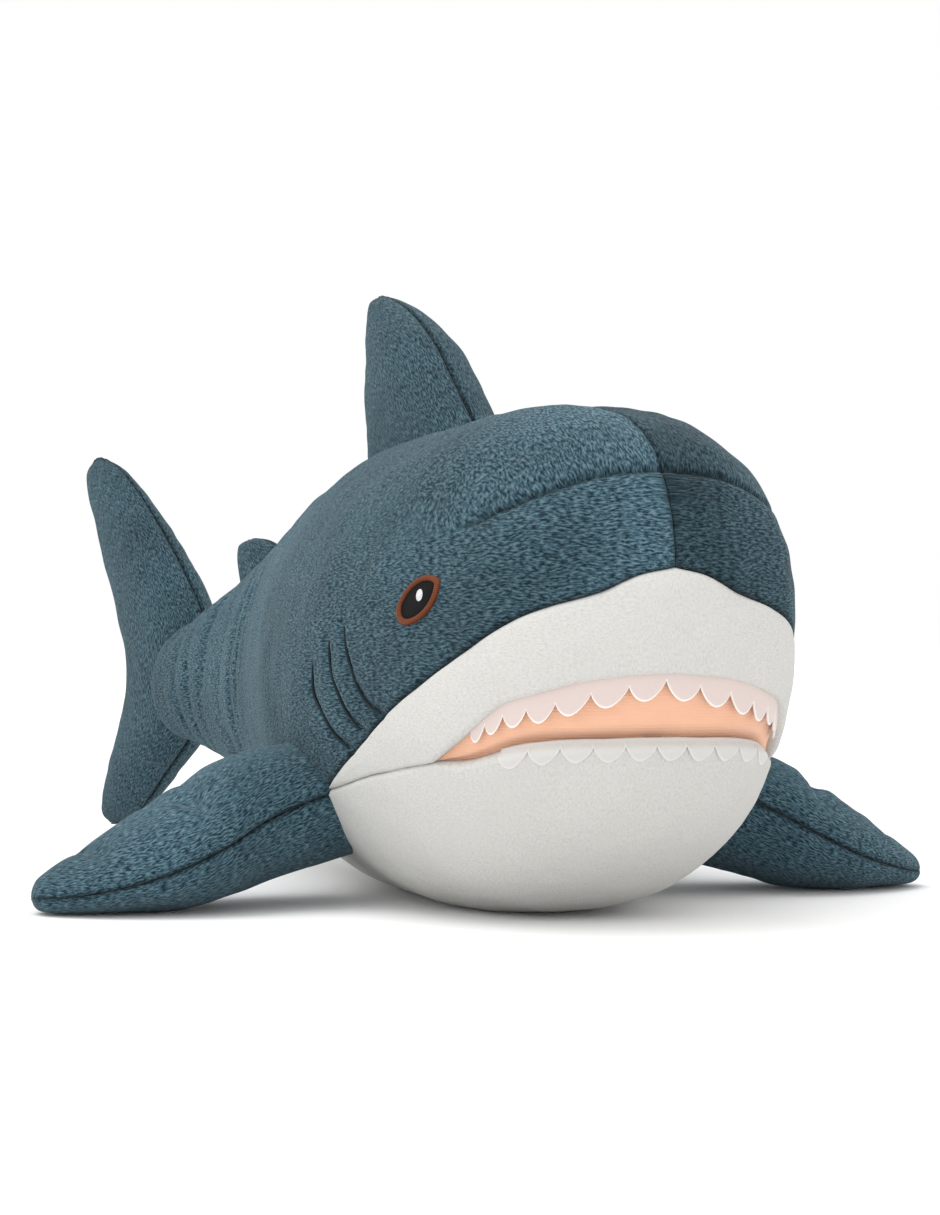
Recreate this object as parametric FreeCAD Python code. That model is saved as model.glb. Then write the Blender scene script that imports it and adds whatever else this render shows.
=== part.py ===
import FreeCAD, Part
import math
import os

# A stuffed plush shark that lies on its belly with its tail bent to its right.
# Millimetres. x runs to the shark's left, y towards its tail, z up, and the floor is z = 0.
# Places along the body are distances behind the nose. The origin is the bottom centre of the whole toy.

Vector = FreeCAD.Vector

# ---- driving dimensions -------------------------------------------------------------------

BODY_LENGTH = 450.0      # nose to the end of the tail stalk, laid straight
BODY_WIDTH = 158.0       # widest part of the trunk
BODY_HEIGHT = 170.0      # floor to crown
FIRM_EXPONENT = 2.3      # squareness of a section through the head (2 is an ellipse)
SOFT_EXPONENT = 2.0      # and through the tail
WIDEST = 0.47            # share of a section's height where it is widest
NOSE_ROUNDING = 18.0     # how soon behind the nose the surface faces sideways

SKIN = 2.0               # plush fabric with its pile
FELT = 0.9               # felt of the teeth and thread of the embroidery
SEAM_ALLOWANCE = 4.0     # mouth lining that is sewn in behind the lips
FILL_GAP = 0.3           # between a fabric and what it covers
PIVOT_GAP = 0.4          # between pieces that move against each other
FLOOR_GAP = 0.2          # under the fins, so that the belly carries the weight

TAIL_PIVOT_SHARE = 0.671 # place along the body where the tail swings
TAIL_BARREL_SHARE = 0.97 # rounded joint there, as a share of the body's half width at its pivot
TAIL_BEND = 14.5         # degrees that the tail lies to the shark's right
SWING = 35.0             # degrees that a tail joint may swing each way from straight

TAIL_FIN_BEHIND = 12.0   # pivot of the tail fin, behind the end of the stalk
TAIL_FIN_HEIGHT = 176.0
TAIL_FIN_BOTTOM = 5.0
TAIL_FIN_THICKNESS = 34.0

DORSAL_PLACE = 0.3956    # share of the body's length where its front edge meets the back
DORSAL_BASE = 99.0
DORSAL_RISE = 49.0       # above its pivot
DORSAL_THICKNESS = 40.0
DORSAL_ROOT = 0.80       # rounded root of a standing fin, as a share of its thickness
BAR_INSET = 4.0          # pivot of the dorsal fin, inside its base at both ends

SECOND_DORSAL_AHEAD = 82.0   # front edge, ahead of the end of the stalk
SECOND_DORSAL_BASE = 36.0
SECOND_DORSAL_RISE = 19.0
SECOND_DORSAL_THICKNESS = 16.0
SECOND_DORSAL_ROOT = 0.875

PECTORAL_PLACE = 0.28    # share of the body's length where its front edge meets the side
PECTORAL_CHORD = 66.0
PECTORAL_BULGE = 6.0     # how far its front edge swells ahead of its root
PECTORAL_SPAN = 77.0
PECTORAL_THICKNESS = 46.0
PECTORAL_ROOT = 0.826
PECTORAL_LEVEL = 0.20    # share of the body's height where it swings

EYE_LENGTH = 22.5
EYE_HEIGHT = 13.0
EYE_RIM = 2.4
EYE_CORNER = 1.3         # the rim at the corners of the eye, times its width above and below
EYE_TILT = -31.0         # degrees, front corner up
EYE_PLACE = 0.1244       # share of the body's length
EYE_LEVEL = 0.6177       # share of the body's height
GLINT_RADIUS = 1.75
GLINT_AHEAD = 1.56       # from the middle of the eye
GLINT_UP = 1.75

TOOTH_PITCH = 11.0
TOOTH_LENGTH = 6.0
UPPER_GUM = 3.5          # felt above the cusps between two teeth
LOWER_GUM = 0.4          # and below the lower lip, as a share of a tooth
NOTCH_FLARE = 1.6        # a notch is cut this many tooth lengths long
UPPER_TEETH = 13
LOWER_TEETH = 9
TEETH_FRONT = {"upper": 0.012, "lower": 0.030}   # share of the body's length at the middle of each lip

# Shape of the body: share of its length, of half its width, and of its height at the top and the bottom.
BODY_STATIONS = [
    (0.002, 0.15, 0.730, 0.610), (0.009, 0.30, 0.788, 0.506), (0.040, 0.60, 0.900, 0.318),
    (0.100, 0.77, 0.971, 0.130), (0.190, 0.92, 1.000, 0.015), (0.300, 1.00, 0.994, -0.015),
    (0.433, 0.95, 0.988, -0.015), (0.589, 0.76, 0.947, 0.030), (0.744, 0.545, 0.835, 0.112),
    (0.889, 0.38, 0.690, 0.212), (1.000, 0.28, 0.594, 0.271), (1.080, 0.22, 0.550, 0.290),
]

# Lines on the side of the body: share of its length, share of its height.
COLOUR_BORDER = [(-0.02, 0.68), (0.002, 0.67), (0.023, 0.594), (0.047, 0.547), (0.080, 0.500),
                 (0.118, 0.441), (0.163, 0.385), (0.222, 0.315), (0.300, 0.253)]
BELLY_BORDER = [(0.300, 0.253), (0.420, 0.165), (0.590, 0.110), (0.780, 0.180), (1.100, 0.340)]
UPPER_LIP = [(-0.02, 0.495), (0.012, 0.482), (0.036, 0.450), (0.071, 0.405), (0.098, 0.362), (0.127, 0.324)]
LOWER_LIP = [(-0.02, 0.375), (0.030, 0.368), (0.047, 0.359), (0.076, 0.338), (0.127, 0.324)]
GILLS = [
    [(0.229, 0.572), (0.218, 0.494), (0.173, 0.405)],
    [(0.253, 0.547), (0.244, 0.464), (0.204, 0.376)],
    [(0.284, 0.500), (0.277, 0.426), (0.227, 0.338)],
]

# Fins: share along the fin, front and back edge as shares of the chord, share of the thickness.
PECTORAL_SECTIONS = [
    # span, front, back, height of the seam above the floor, thickness
    (-0.30, 0.06, 0.98, 40.0, 0.84), (0.00, 0.03, 1.00, 34.0, 0.84), (0.22, -0.08, 0.96, 25.0, 1.00),
    (0.48, -0.04, 0.88, 16.0, 0.87), (0.74, 0.09, 0.78, 10.0, 0.57), (0.92, 0.23, 0.66, 7.0, 0.33),
    (1.00, 0.34, 0.55, 6.0, 0.14),
]
DORSAL_SECTIONS = [
    # rise above the pivot, front, back, thickness
    (-0.55, -0.18, 0.97, 1.00), (-0.27, -0.03, 0.98, 1.00), (0.00, 0.14, 0.99, 1.00),
    (0.22, 0.28, 1.00, 0.95), (0.47, 0.42, 1.01, 0.83), (0.66, 0.57, 1.04, 0.70),
    (0.82, 0.74, 1.06, 0.52), (0.93, 0.87, 1.05, 0.33), (1.00, 0.95, 1.00, 0.12),
]
TAIL_FIN_SECTIONS = [
    # rise, front and back edge behind the pivot in mm, thickness
    (0.00, 62.0, 76.0, 0.14), (0.05, 46.0, 80.0, 0.42), (0.15, 20.0, 66.0, 0.82), (0.28, -12.0, 54.0, 0.98),
    (0.40, -19.0, 48.0, 1.00), (0.55, -19.0, 58.0, 1.00), (0.67, 1.0, 70.0, 0.90), (0.79, 22.0, 82.0, 0.76),
    (0.88, 43.0, 93.0, 0.60), (0.96, 66.0, 99.0, 0.38), (1.00, 80.0, 95.0, 0.14),
]

REACH = 1000.0           # longer than anything here, for cutting tools
CUT_DEPTH = 12.0         # how far a cutter for felt reaches to each side of it
RING_POINTS = 20
LIP_STEPS = 400          # places along a lip for setting out the teeth
FRONT_SHARE = 0.433      # the mouth, eyes and gills lie ahead of this share of the body

# ---- places that follow from these --------------------------------------------------------

TAIL_PIVOT = TAIL_PIVOT_SHARE * BODY_LENGTH
TAIL_FIN_PIVOT = BODY_LENGTH + TAIL_FIN_BEHIND
TAIL_FIN_BARREL = TAIL_FIN_THICKNESS / 2
DORSAL_FRONT = DORSAL_PLACE * BODY_LENGTH
DORSAL_BARREL = DORSAL_ROOT * DORSAL_THICKNESS / 2
SECOND_DORSAL_FRONT = BODY_LENGTH - SECOND_DORSAL_AHEAD
SECOND_DORSAL_BARREL = SECOND_DORSAL_ROOT * SECOND_DORSAL_THICKNESS / 2
PECTORAL_FRONT = PECTORAL_PLACE * BODY_LENGTH
PECTORAL_BARREL = PECTORAL_ROOT * PECTORAL_THICKNESS / 2
PECTORAL_PIVOT_HEIGHT = PECTORAL_LEVEL * BODY_HEIGHT
EYE_BACK = EYE_PLACE * BODY_LENGTH
EYE_RISE = EYE_LEVEL * BODY_HEIGHT


# ---- outlines -----------------------------------------------------------------------------

def smooth(table, column, share):
    """Value of one column at a share, by a curve through the table that doesn't overshoot."""
    places = [math.sqrt(row[0]) for row in table]
    values = [row[column] for row in table]
    here = math.sqrt(max(share, 0.0))
    last = len(places) - 1
    here = min(max(here, places[0]), places[last])
    slopes = [(values[i + 1] - values[i]) / (places[i + 1] - places[i]) for i in range(last)]
    tangents = [slopes[0]]
    for i in range(1, last):
        before, after = slopes[i - 1], slopes[i]
        level = before * after <= 0
        tangents.append(0.0 if level else 2 * before * after / (before + after))
    tangents.append(slopes[-1])
    i = max(k for k in range(last) if places[k] <= here)
    step = places[i + 1] - places[i]
    t = (here - places[i]) / step
    return ((2 * t**3 - 3 * t**2 + 1) * values[i] + (t**3 - 2 * t**2 + t) * step * tangents[i]
            + (3 * t**2 - 2 * t**3) * values[i + 1] + (t**3 - t**2) * step * tangents[i + 1])


def body_size(along):
    """Half width, top, bottom and squareness of the body at a distance behind the nose."""
    share = along / BODY_LENGTH
    half = smooth(BODY_STATIONS, 1, share) * BODY_WIDTH / 2
    top = smooth(BODY_STATIONS, 2, share) * BODY_HEIGHT
    bottom = smooth(BODY_STATIONS, 3, share) * BODY_HEIGHT
    softness = min(max((share - 0.13) / 0.45, 0.0), 1.0)
    return half, top, bottom, FIRM_EXPONENT + (SOFT_EXPONENT - FIRM_EXPONENT) * softness


def tail_barrel():
    """Radius of the tail's rounded joint, from the width of the body at its pivot."""
    return TAIL_BARREL_SHARE * body_size(TAIL_PIVOT)[0]


def ring(half, top, bottom, exponent):
    """Points (across, height) round a rounded section whose widest place is at a share of its height."""
    points = []
    for i in range(RING_POINTS):
        angle = 2 * math.pi * i / RING_POINTS
        across = math.copysign(abs(math.cos(angle)) ** (2 / exponent), math.cos(angle))
        up = math.copysign(abs(math.sin(angle)) ** (2 / exponent), math.sin(angle))
        level = bottom + (top - bottom) * WIDEST
        height = level + up * ((top - level) if up > 0 else (level - bottom))
        points.append((half * across, height))
    return points


def closed_wire(points):
    curve = Part.BSplineCurve()
    curve.interpolate(Points=points, PeriodicFlag=True)
    return Part.Wire([curve.toShape()])


def body(inset, last_share=1.08):
    """The body laid straight as far as a share of its length, drawn in by an inset (negative swells it)."""
    wires = []
    shares = [0.002, 0.005, 0.010, 0.020, 0.040, 0.070, 0.11, 0.15, 0.20, 0.25, 0.30, 0.365, 0.433, 0.51,
              0.589, 0.667, 0.744, 0.82, 0.889, 0.95, 1.02, 1.08]
    for share in [share for share in shares if share <= last_share]:
        along = share * BODY_LENGTH
        half, top, bottom, exponent = body_size(along)
        ahead = 1 / (1 + NOSE_ROUNDING * share)
        aside = math.sqrt(1 - ahead * ahead)
        points = ring(half - inset * aside, top - inset * aside, bottom + inset * aside, exponent)
        wires.append(closed_wire([Vector(x, along + inset * ahead, z) for x, z in points]))
    solid = Part.makeLoft(wires, True)
    return solid.common(half_space(Vector(0, 0, inset), Vector(0, 0, 1)))


def half_space(point, direction):
    """A very large block on one side of a plane."""
    block = Part.makeBox(2 * REACH, 2 * REACH, REACH, Vector(-REACH, -REACH, 0))
    turn = FreeCAD.Rotation(Vector(0, 0, 1), direction)
    block.Placement = FreeCAD.Placement(point, turn)
    return block


def side_curve(shares):
    """Curve through points on the side of the body, in the plane x = 0."""
    points = [Vector(0, a * BODY_LENGTH, h * BODY_HEIGHT) for a, h in shares]
    curve = Part.BSplineCurve()
    curve.interpolate(Points=points)
    return curve.toShape(), points[0], points[-1]


def side_prism(edges):
    """Everything that lies across the body inside a closed outline in its side view."""
    face = Part.Face(Part.Wire(Part.__sortEdges__(edges)))
    face.translate(Vector(-REACH, 0, 0))
    return face.extrude(Vector(2 * REACH, 0, 0))


def line(a, b):
    return Part.makeLine(a, b)


def rod(start, direction, radius):
    """A long round bar through a point, for rounded joints."""
    return Part.makeCylinder(radius, 2 * REACH, start - direction * REACH, direction)


# ---- regions of the skin ------------------------------------------------------------------

def above_border():
    """What the blue back covers, from nose to tail."""
    head, head_start, corner = side_curve(COLOUR_BORDER)
    rear, rear_start, rear_end = side_curve(BELLY_BORDER)
    high_front = Vector(0, head_start.y, REACH)
    high_back = Vector(0, rear_end.y, REACH)
    sides = [line(rear_end, high_back), line(high_back, high_front), line(high_front, head_start)]
    return side_prism([head, rear] + sides)


def muzzle_region():
    """White cloth between the colour border, the upper lip and the seam at the corner of the mouth."""
    border, front_high, corner = side_curve(COLOUR_BORDER)
    lip, front_low, mouth_corner = side_curve(UPPER_LIP)
    return side_prism([border, line(corner, mouth_corner), lip, line(front_low, front_high)])


def mouth_region(margin):
    """Everything between the lips, widened by a margin for the cloth that is sewn in behind them."""
    upper, upper_front, corner = side_curve(UPPER_LIP)
    lower, lower_front, corner = side_curve(LOWER_LIP)
    up, down = Vector(0, 0, margin), Vector(0, 0, -margin)
    upper.translate(up)
    lower.translate(down)
    edges = [upper, lower, line(upper_front + up, lower_front + down)]
    if margin:
        edges.append(line(corner + up, corner + down))
    return side_prism(edges)


def lip_strip(lip, start, end):
    """A band that follows a lip, from one height above it to another."""
    shape, front, corner = side_curve(lip)
    high = shape.copy()
    high.translate(Vector(0, 0, start))
    low = shape.copy()
    low.translate(Vector(0, 0, end))
    up, down = Vector(0, 0, start), Vector(0, 0, end)
    return side_prism([high, low, line(front + up, front + down), line(corner + up, corner + down)])


def one_side(side):
    return half_space(Vector(0, 0, 0), Vector(side, 0, 0))


def largest(shape):
    """Leaves out slivers of cutting: keeps the largest solid."""
    return max(shape.Solids, key=lambda solid: solid.Volume)


# ---- teeth --------------------------------------------------------------------------------

def lip_path(lip, front_share):
    """Points along a lip round the front of the head, about one millimetre apart, one side only."""
    edge, front, corner = side_curve(lip)
    path = []
    for step in range(LIP_STEPS):
        share = front_share + (lip[-1][0] - front_share) * step / (LIP_STEPS - 1)
        along = share * BODY_LENGTH
        cut = edge.Curve.intersect(Part.Line(Vector(0, along, 0), Vector(0, along, 1)))
        height = cut[0].Z
        half, top, bottom, exponent = body_size(along)
        level = bottom + (top - bottom) * WIDEST
        reach = min(abs(height - level) / (level - bottom), 1.0)
        path.append(Vector(half * (1 - reach ** exponent) ** (1 / exponent), along, height))
    return path


def notches(lip, front_share, count, drop, length):
    """Wedges between the teeth: one at the middle, then one each pitch along both sides."""
    path = lip_path(lip, front_share)
    walked = path[0].x
    stops = [0.0]
    wedges = [wedge(Vector(0, path[0].y, path[0].z), Vector(0, -1, 0), drop, length)]
    want = TOOTH_PITCH
    for before, after in zip(path, path[1:]):
        walked += (after - before).Length
        if walked >= want and len(stops) <= count // 2:
            heading = (after - before).normalize()
            out = Vector(heading.y, -heading.x, 0).normalize()
            wedges.append(wedge(after, out, drop, length))
            wedges.append(wedge(Vector(-after.x, after.y, after.z), Vector(-out.x, out.y, 0), drop, length))
            stops.append(walked)
            want += TOOTH_PITCH
    return wedges


def wedge(point, out, drop, length):
    """A sharp wedge that points up at one place on a lip and goes straight through the felt."""
    across = Vector(0, 0, 1).cross(out)
    tip = point + Vector(0, 0, drop)
    base = tip + Vector(0, 0, math.copysign(length * NOTCH_FLARE, drop))
    spread = across * (TOOTH_PITCH / 2)
    corners = [corner - out * CUT_DEPTH for corner in (tip, base + spread, base - spread, tip)]
    return Part.Face(Part.makePolygon(corners)).extrude(out * (2 * CUT_DEPTH))


# ---- embroidery ---------------------------------------------------------------------------

def almond(length, height):
    """Outline of two arcs that meet in the eye's two corners, seen from the side."""
    front = Vector(0, -length / 2, 0)
    back = Vector(0, length / 2, 0)
    upper = Part.Arc(front, Vector(0, 0, height / 2), back).toShape()
    lower = Part.Arc(front, Vector(0, 0, -height / 2), back).toShape()
    return placed_on_eye([upper, lower])


def round_patch(radius, back, up):
    ring_edge = Part.makeCircle(radius, Vector(0, back, up), Vector(1, 0, 0))
    return placed_on_eye([ring_edge])


def placed_on_eye(edges):
    face = Part.Face(Part.Wire(edges))
    face.rotate(Vector(0, 0, 0), Vector(1, 0, 0), EYE_TILT)
    face.translate(Vector(0, EYE_BACK, EYE_RISE))
    return face.extrude(Vector(REACH, 0, 0))


def gill_thread(shares):
    """One bow of stitching, a thread wide, across the left side of the body."""
    points = [Vector(0, a * BODY_LENGTH, h * BODY_HEIGHT) for a, h in shares]
    ahead = Vector(0, -FELT / 2, 0)
    back = Vector(0, FELT / 2, 0)
    front = Part.Arc(*[point + ahead for point in points]).toShape()
    rear = Part.Arc(*[point + back for point in points]).toShape()
    caps = [line(points[0] + ahead, points[0] + back), line(points[2] + ahead, points[2] + back)]
    face = Part.Face(Part.Wire(Part.__sortEdges__([front, rear] + caps)))
    return face.extrude(Vector(REACH, 0, 0))


# ---- fins ---------------------------------------------------------------------------------

def oval(centre, forward, up, half_chord, half_thickness):
    """A rounded section of a fin, as a closed wire."""
    points = []
    for i in range(RING_POINTS):
        angle = 2 * math.pi * i / RING_POINTS
        along = forward * (half_chord * math.cos(angle))
        points.append(centre + along + up * (half_thickness * math.sin(angle)))
    return closed_wire(points)


def barrel_end(start, direction, radius, outward):
    """The space a hinged piece may fill: a round bar at its pivot and everything beyond it."""
    return rod(start, direction, radius).fuse(half_space(start, outward))


def upright_fin(sections, pivot, base, rise, chord, thickness, inset):
    """A fin that stands up: level sections from (share of rise, front, back, share of thickness)."""
    wires = []
    for share, front, back, thick in sections:
        ends = min(max(2 * share - 1, -1.0), 1.0) ** 3
        height = base + share * rise - inset * ends
        front_edge = pivot + front * chord + inset
        back_edge = pivot + back * chord - inset
        half_chord = (back_edge - front_edge) / 2
        half_thick = max(thick * thickness / 2 - inset, thick * thickness / 5)
        centre = Vector(0, front_edge + half_chord, height)
        wires.append(oval(centre, Vector(0, 1, 0), Vector(1, 0, 0), half_chord, half_thick))
    return Part.makeLoft(wires, True)


def pectoral_fin(pivot_x, inset):
    """The left pectoral fin: sections across the body, from root to tip, drooping to the floor."""
    wires = []
    for share, front, back, height, thick in PECTORAL_SECTIONS:
        across = pivot_x + share * PECTORAL_SPAN - inset * max(share, 0) ** 3
        front_edge = PECTORAL_FRONT + front * PECTORAL_CHORD + inset
        back_edge = PECTORAL_FRONT + back * PECTORAL_CHORD - inset
        half_chord = (back_edge - front_edge) / 2
        half_thick = max(thick * PECTORAL_THICKNESS / 2 - inset, thick * PECTORAL_THICKNESS / 5)
        centre = Vector(across, front_edge + half_chord, height)
        wires.append(oval(centre, Vector(0, 1, 0), Vector(0, 0, 1), half_chord, half_thick))
    solid = Part.makeLoft(wires, True)
    solid = solid.common(half_space(Vector(0, 0, FLOOR_GAP + inset), Vector(0, 0, 1)))
    pivot = Vector(pivot_x, 0, PECTORAL_PIVOT_HEIGHT)
    return solid.common(barrel_end(pivot, Vector(0, 1, 0), PECTORAL_BARREL - inset, Vector(1, 0, 0)))


def surface_samples(first, last, low, high):
    """Points of the body's left surface between two distances and two angles above level."""
    samples = []
    for i in range(41):
        along = first + (last - first) * i / 40
        half, top, bottom, exponent = body_size(along)
        level = bottom + (top - bottom) * WIDEST
        for k in range(61):
            angle = math.radians(low + (high - low) * k / 60)
            across = half * math.cos(angle) ** (2 / exponent)
            up = math.copysign(abs(math.sin(angle)) ** (2 / exponent), angle)
            samples.append((across, along, level + up * ((top - level) if up > 0 else (level - bottom))))
    return samples


def pivot_beside(first, last, height, radius):
    """How far out a level round bar must lie to just clear the side of the body."""
    clear = radius + PIVOT_GAP
    reach = [x + math.sqrt(clear**2 - (z - height) ** 2)
             for x, y, z in surface_samples(first, last, -89, 89) if abs(z - height) < clear]
    return max(reach)


def pivot_above(first, last, radius):
    """Ends of a round bar that lies along the back and just clears it."""
    clear = radius + PIVOT_GAP

    def need(begin, end):
        near = surface_samples(begin, end, 20, 90)
        return [(y, z + math.sqrt(clear**2 - x**2)) for x, y, z in near if x < clear]

    front = max(z for y, z in need(first, first + 0.01))
    back = max(z for y, z in need(last - 0.01, last))
    slope = (back - front) / (last - first)
    lift = max(z - front - slope * (y - first) for y, z in need(first, last))
    return Vector(0, first, front + lift), Vector(0, last, back + lift)


def two_sides(shape, name):
    """A fin's two sewn panels, left and right of its middle."""
    return {
        name + "_left_panel": largest(shape.common(one_side(1))),
        name + "_right_panel": largest(shape.common(one_side(-1))),
    }


def standing_fin(name, sections, pivot_line, radius, place, thickness):
    """Panels and stuffing of a fin whose root rolls on a bar along the body."""
    start, end = pivot_line
    direction = (end - start).normalize()
    outward = Vector(0, -direction.z, direction.y)
    solids = []
    for inset in (0.0, SKIN, SKIN + FILL_GAP):
        fin = upright_fin(sections, *place, thickness, inset)
        solids.append(fin.common(barrel_end(start, direction, radius - inset, outward)))
    pieces = two_sides(solids[0].cut(solids[1]), name)
    pieces[name + "_stuffing"] = largest(solids[2])
    return pieces


# ---- the toy ------------------------------------------------------------------------------

def trunk_space():
    """Everything ahead of the tail's rounded joint."""
    end = TAIL_PIVOT - tail_barrel() * math.sin(math.radians(SWING)) - PIVOT_GAP
    front = half_space(Vector(0, end, 0), Vector(0, -1, 0))
    return front.cut(rod(Vector(0, TAIL_PIVOT, 0), Vector(0, 0, 1), tail_barrel() + PIVOT_GAP))


def stalk_space():
    """From the tail's rounded joint to the cup that holds the tail fin."""
    start = Vector(0, TAIL_PIVOT, 0)
    space = barrel_end(start, Vector(0, 0, 1), tail_barrel(), Vector(0, 1, 0))
    end = TAIL_FIN_PIVOT - TAIL_FIN_BARREL * math.sin(math.radians(SWING)) - PIVOT_GAP
    space = space.common(half_space(Vector(0, end, 0), Vector(0, -1, 0)))
    return space.cut(rod(Vector(0, TAIL_FIN_PIVOT, 0), Vector(0, 0, 1), TAIL_FIN_BARREL + PIVOT_GAP))


def trunk_pieces(skin, filling, layers):
    """Skin panels, mouth, teeth, eyes, gills and stuffing of the head and trunk."""
    space = trunk_space()
    shell = skin.common(space)
    back, white, mouth = above_border(), muzzle_region(), mouth_region(0)
    blue = shell.common(back)
    pieces = {
        "back_left_panel": largest(blue.common(one_side(1))),
        "back_right_panel": largest(blue.common(one_side(-1))),
        "muzzle_panel": largest(shell.common(white)),
        "belly_panel": largest(shell.cut(back).cut(white).cut(mouth)),
    }
    front = half_space(Vector(0, BODY_LENGTH * FRONT_SHARE / 2, 0), Vector(0, -1, 0))
    sewn = mouth_region(SEAM_ALLOWANCE)
    pieces["mouth_lining"] = largest(layers[FILL_GAP + SKIN].cut(layers[FILL_GAP + 2 * SKIN]).common(sewn))
    hollow = mouth_region(SEAM_ALLOWANCE + FILL_GAP).cut(layers[2 * FILL_GAP + 2 * SKIN])
    pieces["trunk_stuffing"] = largest(filling.common(space).cut(hollow))

    gum = layers[SKIN - FELT - FILL_GAP].cut(layers[SKIN - FILL_GAP])
    depth = UPPER_GUM + TOOTH_LENGTH
    upper = gum.common(mouth).common(lip_strip(UPPER_LIP, 1.0, -depth))
    upper = upper.cut(notches(UPPER_LIP, TEETH_FRONT["upper"], UPPER_TEETH, -UPPER_GUM, TOOTH_LENGTH))
    pieces["upper_teeth"] = largest(upper)
    over = layers[-FILL_GAP - FELT].cut(layers[-FILL_GAP])
    lower = over.common(lip_strip(LOWER_LIP, 0.0, -TOOTH_LENGTH)).common(front)
    drop = -LOWER_GUM * TOOTH_LENGTH
    lower = lower.cut(notches(LOWER_LIP, TEETH_FRONT["lower"], LOWER_TEETH, drop, TOOTH_LENGTH))
    pieces["lower_teeth"] = largest(lower)

    eye = almond(EYE_LENGTH, EYE_HEIGHT)
    inner = almond(EYE_LENGTH - 2 * EYE_CORNER * EYE_RIM, EYE_HEIGHT - 2 * EYE_RIM)
    glint = round_patch(GLINT_RADIUS, -GLINT_AHEAD, GLINT_UP)
    left = {
        "eye_left_rim": largest(over.common(eye).cut(inner)),
        "eye_left_pupil": largest(over.common(inner).cut(glint)),
        "eye_left_glint": largest(over.common(glint)),
        "gill_stitching_left": Part.makeCompound([largest(over.common(gill_thread(bow))) for bow in GILLS]),
    }
    for name, piece in left.items():
        pieces[name] = piece
        pieces[name.replace("left", "right")] = mirrored(piece)
    return pieces


def mirrored(shape):
    return shape.mirror(Vector(0, 0, 0), Vector(1, 0, 0))


def tail_pieces(skin, filling):
    """Tail stalk, second dorsal fin and tail fin, laid straight behind the trunk."""
    space = stalk_space()
    shell = skin.common(space)
    blue = shell.common(above_border())
    stalk = {
        "tail_left_panel": largest(blue.common(one_side(1))),
        "tail_right_panel": largest(blue.common(one_side(-1))),
        "tail_belly_panel": largest(shell.cut(above_border())),
        "tail_stuffing": largest(filling.common(space)),
    }
    bar = pivot_above(SECOND_DORSAL_FRONT, SECOND_DORSAL_FRONT + SECOND_DORSAL_BASE, SECOND_DORSAL_BARREL)
    place = (SECOND_DORSAL_FRONT, bar[1].z, SECOND_DORSAL_RISE, SECOND_DORSAL_BASE)
    second = standing_fin("second_dorsal", DORSAL_SECTIONS, bar, SECOND_DORSAL_BARREL, place,
                          SECOND_DORSAL_THICKNESS)
    solids = []
    pivot = Vector(0, TAIL_FIN_PIVOT, 0)
    for inset in (0.0, SKIN, SKIN + FILL_GAP):
        whole = upright_fin(TAIL_FIN_SECTIONS, TAIL_FIN_PIVOT, TAIL_FIN_BOTTOM, TAIL_FIN_HEIGHT, 1.0,
                            TAIL_FIN_THICKNESS, inset)
        end = barrel_end(pivot, Vector(0, 0, 1), TAIL_FIN_BARREL - inset, Vector(0, 1, 0))
        solids.append(whole.common(end))
    fin = two_sides(solids[0].cut(solids[1]), "tail_fin")
    fin["tail_fin_stuffing"] = largest(solids[2])
    return stalk, second, fin, bar


def pectoral_pieces():
    """Both pectoral fins and the place of their pivots."""
    pivot_x = pivot_beside(PECTORAL_FRONT - PECTORAL_BULGE, PECTORAL_FRONT + PECTORAL_CHORD,
                           PECTORAL_PIVOT_HEIGHT, PECTORAL_BARREL)
    whole, inner, filling = [pectoral_fin(pivot_x, inset) for inset in (0.0, SKIN, SKIN + FILL_GAP)]
    shell = whole.cut(inner)
    seam = [Vector(pivot_x + row[0] * PECTORAL_SPAN, 0, row[3]) for row in PECTORAL_SECTIONS]
    seam.append(Vector(pivot_x + 1.5 * PECTORAL_SPAN, 0, seam[-1].z))
    top = [Vector(seam[-1].x, 0, REACH), Vector(seam[0].x, 0, REACH)]
    face = Part.Face(Part.makePolygon(seam + top + [seam[0]]))
    face.translate(Vector(0, -REACH, 0))
    above = face.extrude(Vector(0, 2 * REACH, 0))
    left = {
        "pectoral_left_upper_panel": largest(shell.common(above)),
        "pectoral_left_lower_panel": largest(shell.cut(above)),
        "pectoral_left_stuffing": largest(filling),
    }
    right = {name.replace("left", "right"): mirrored(piece) for name, piece in left.items()}
    return left, right, pivot_x


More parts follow.
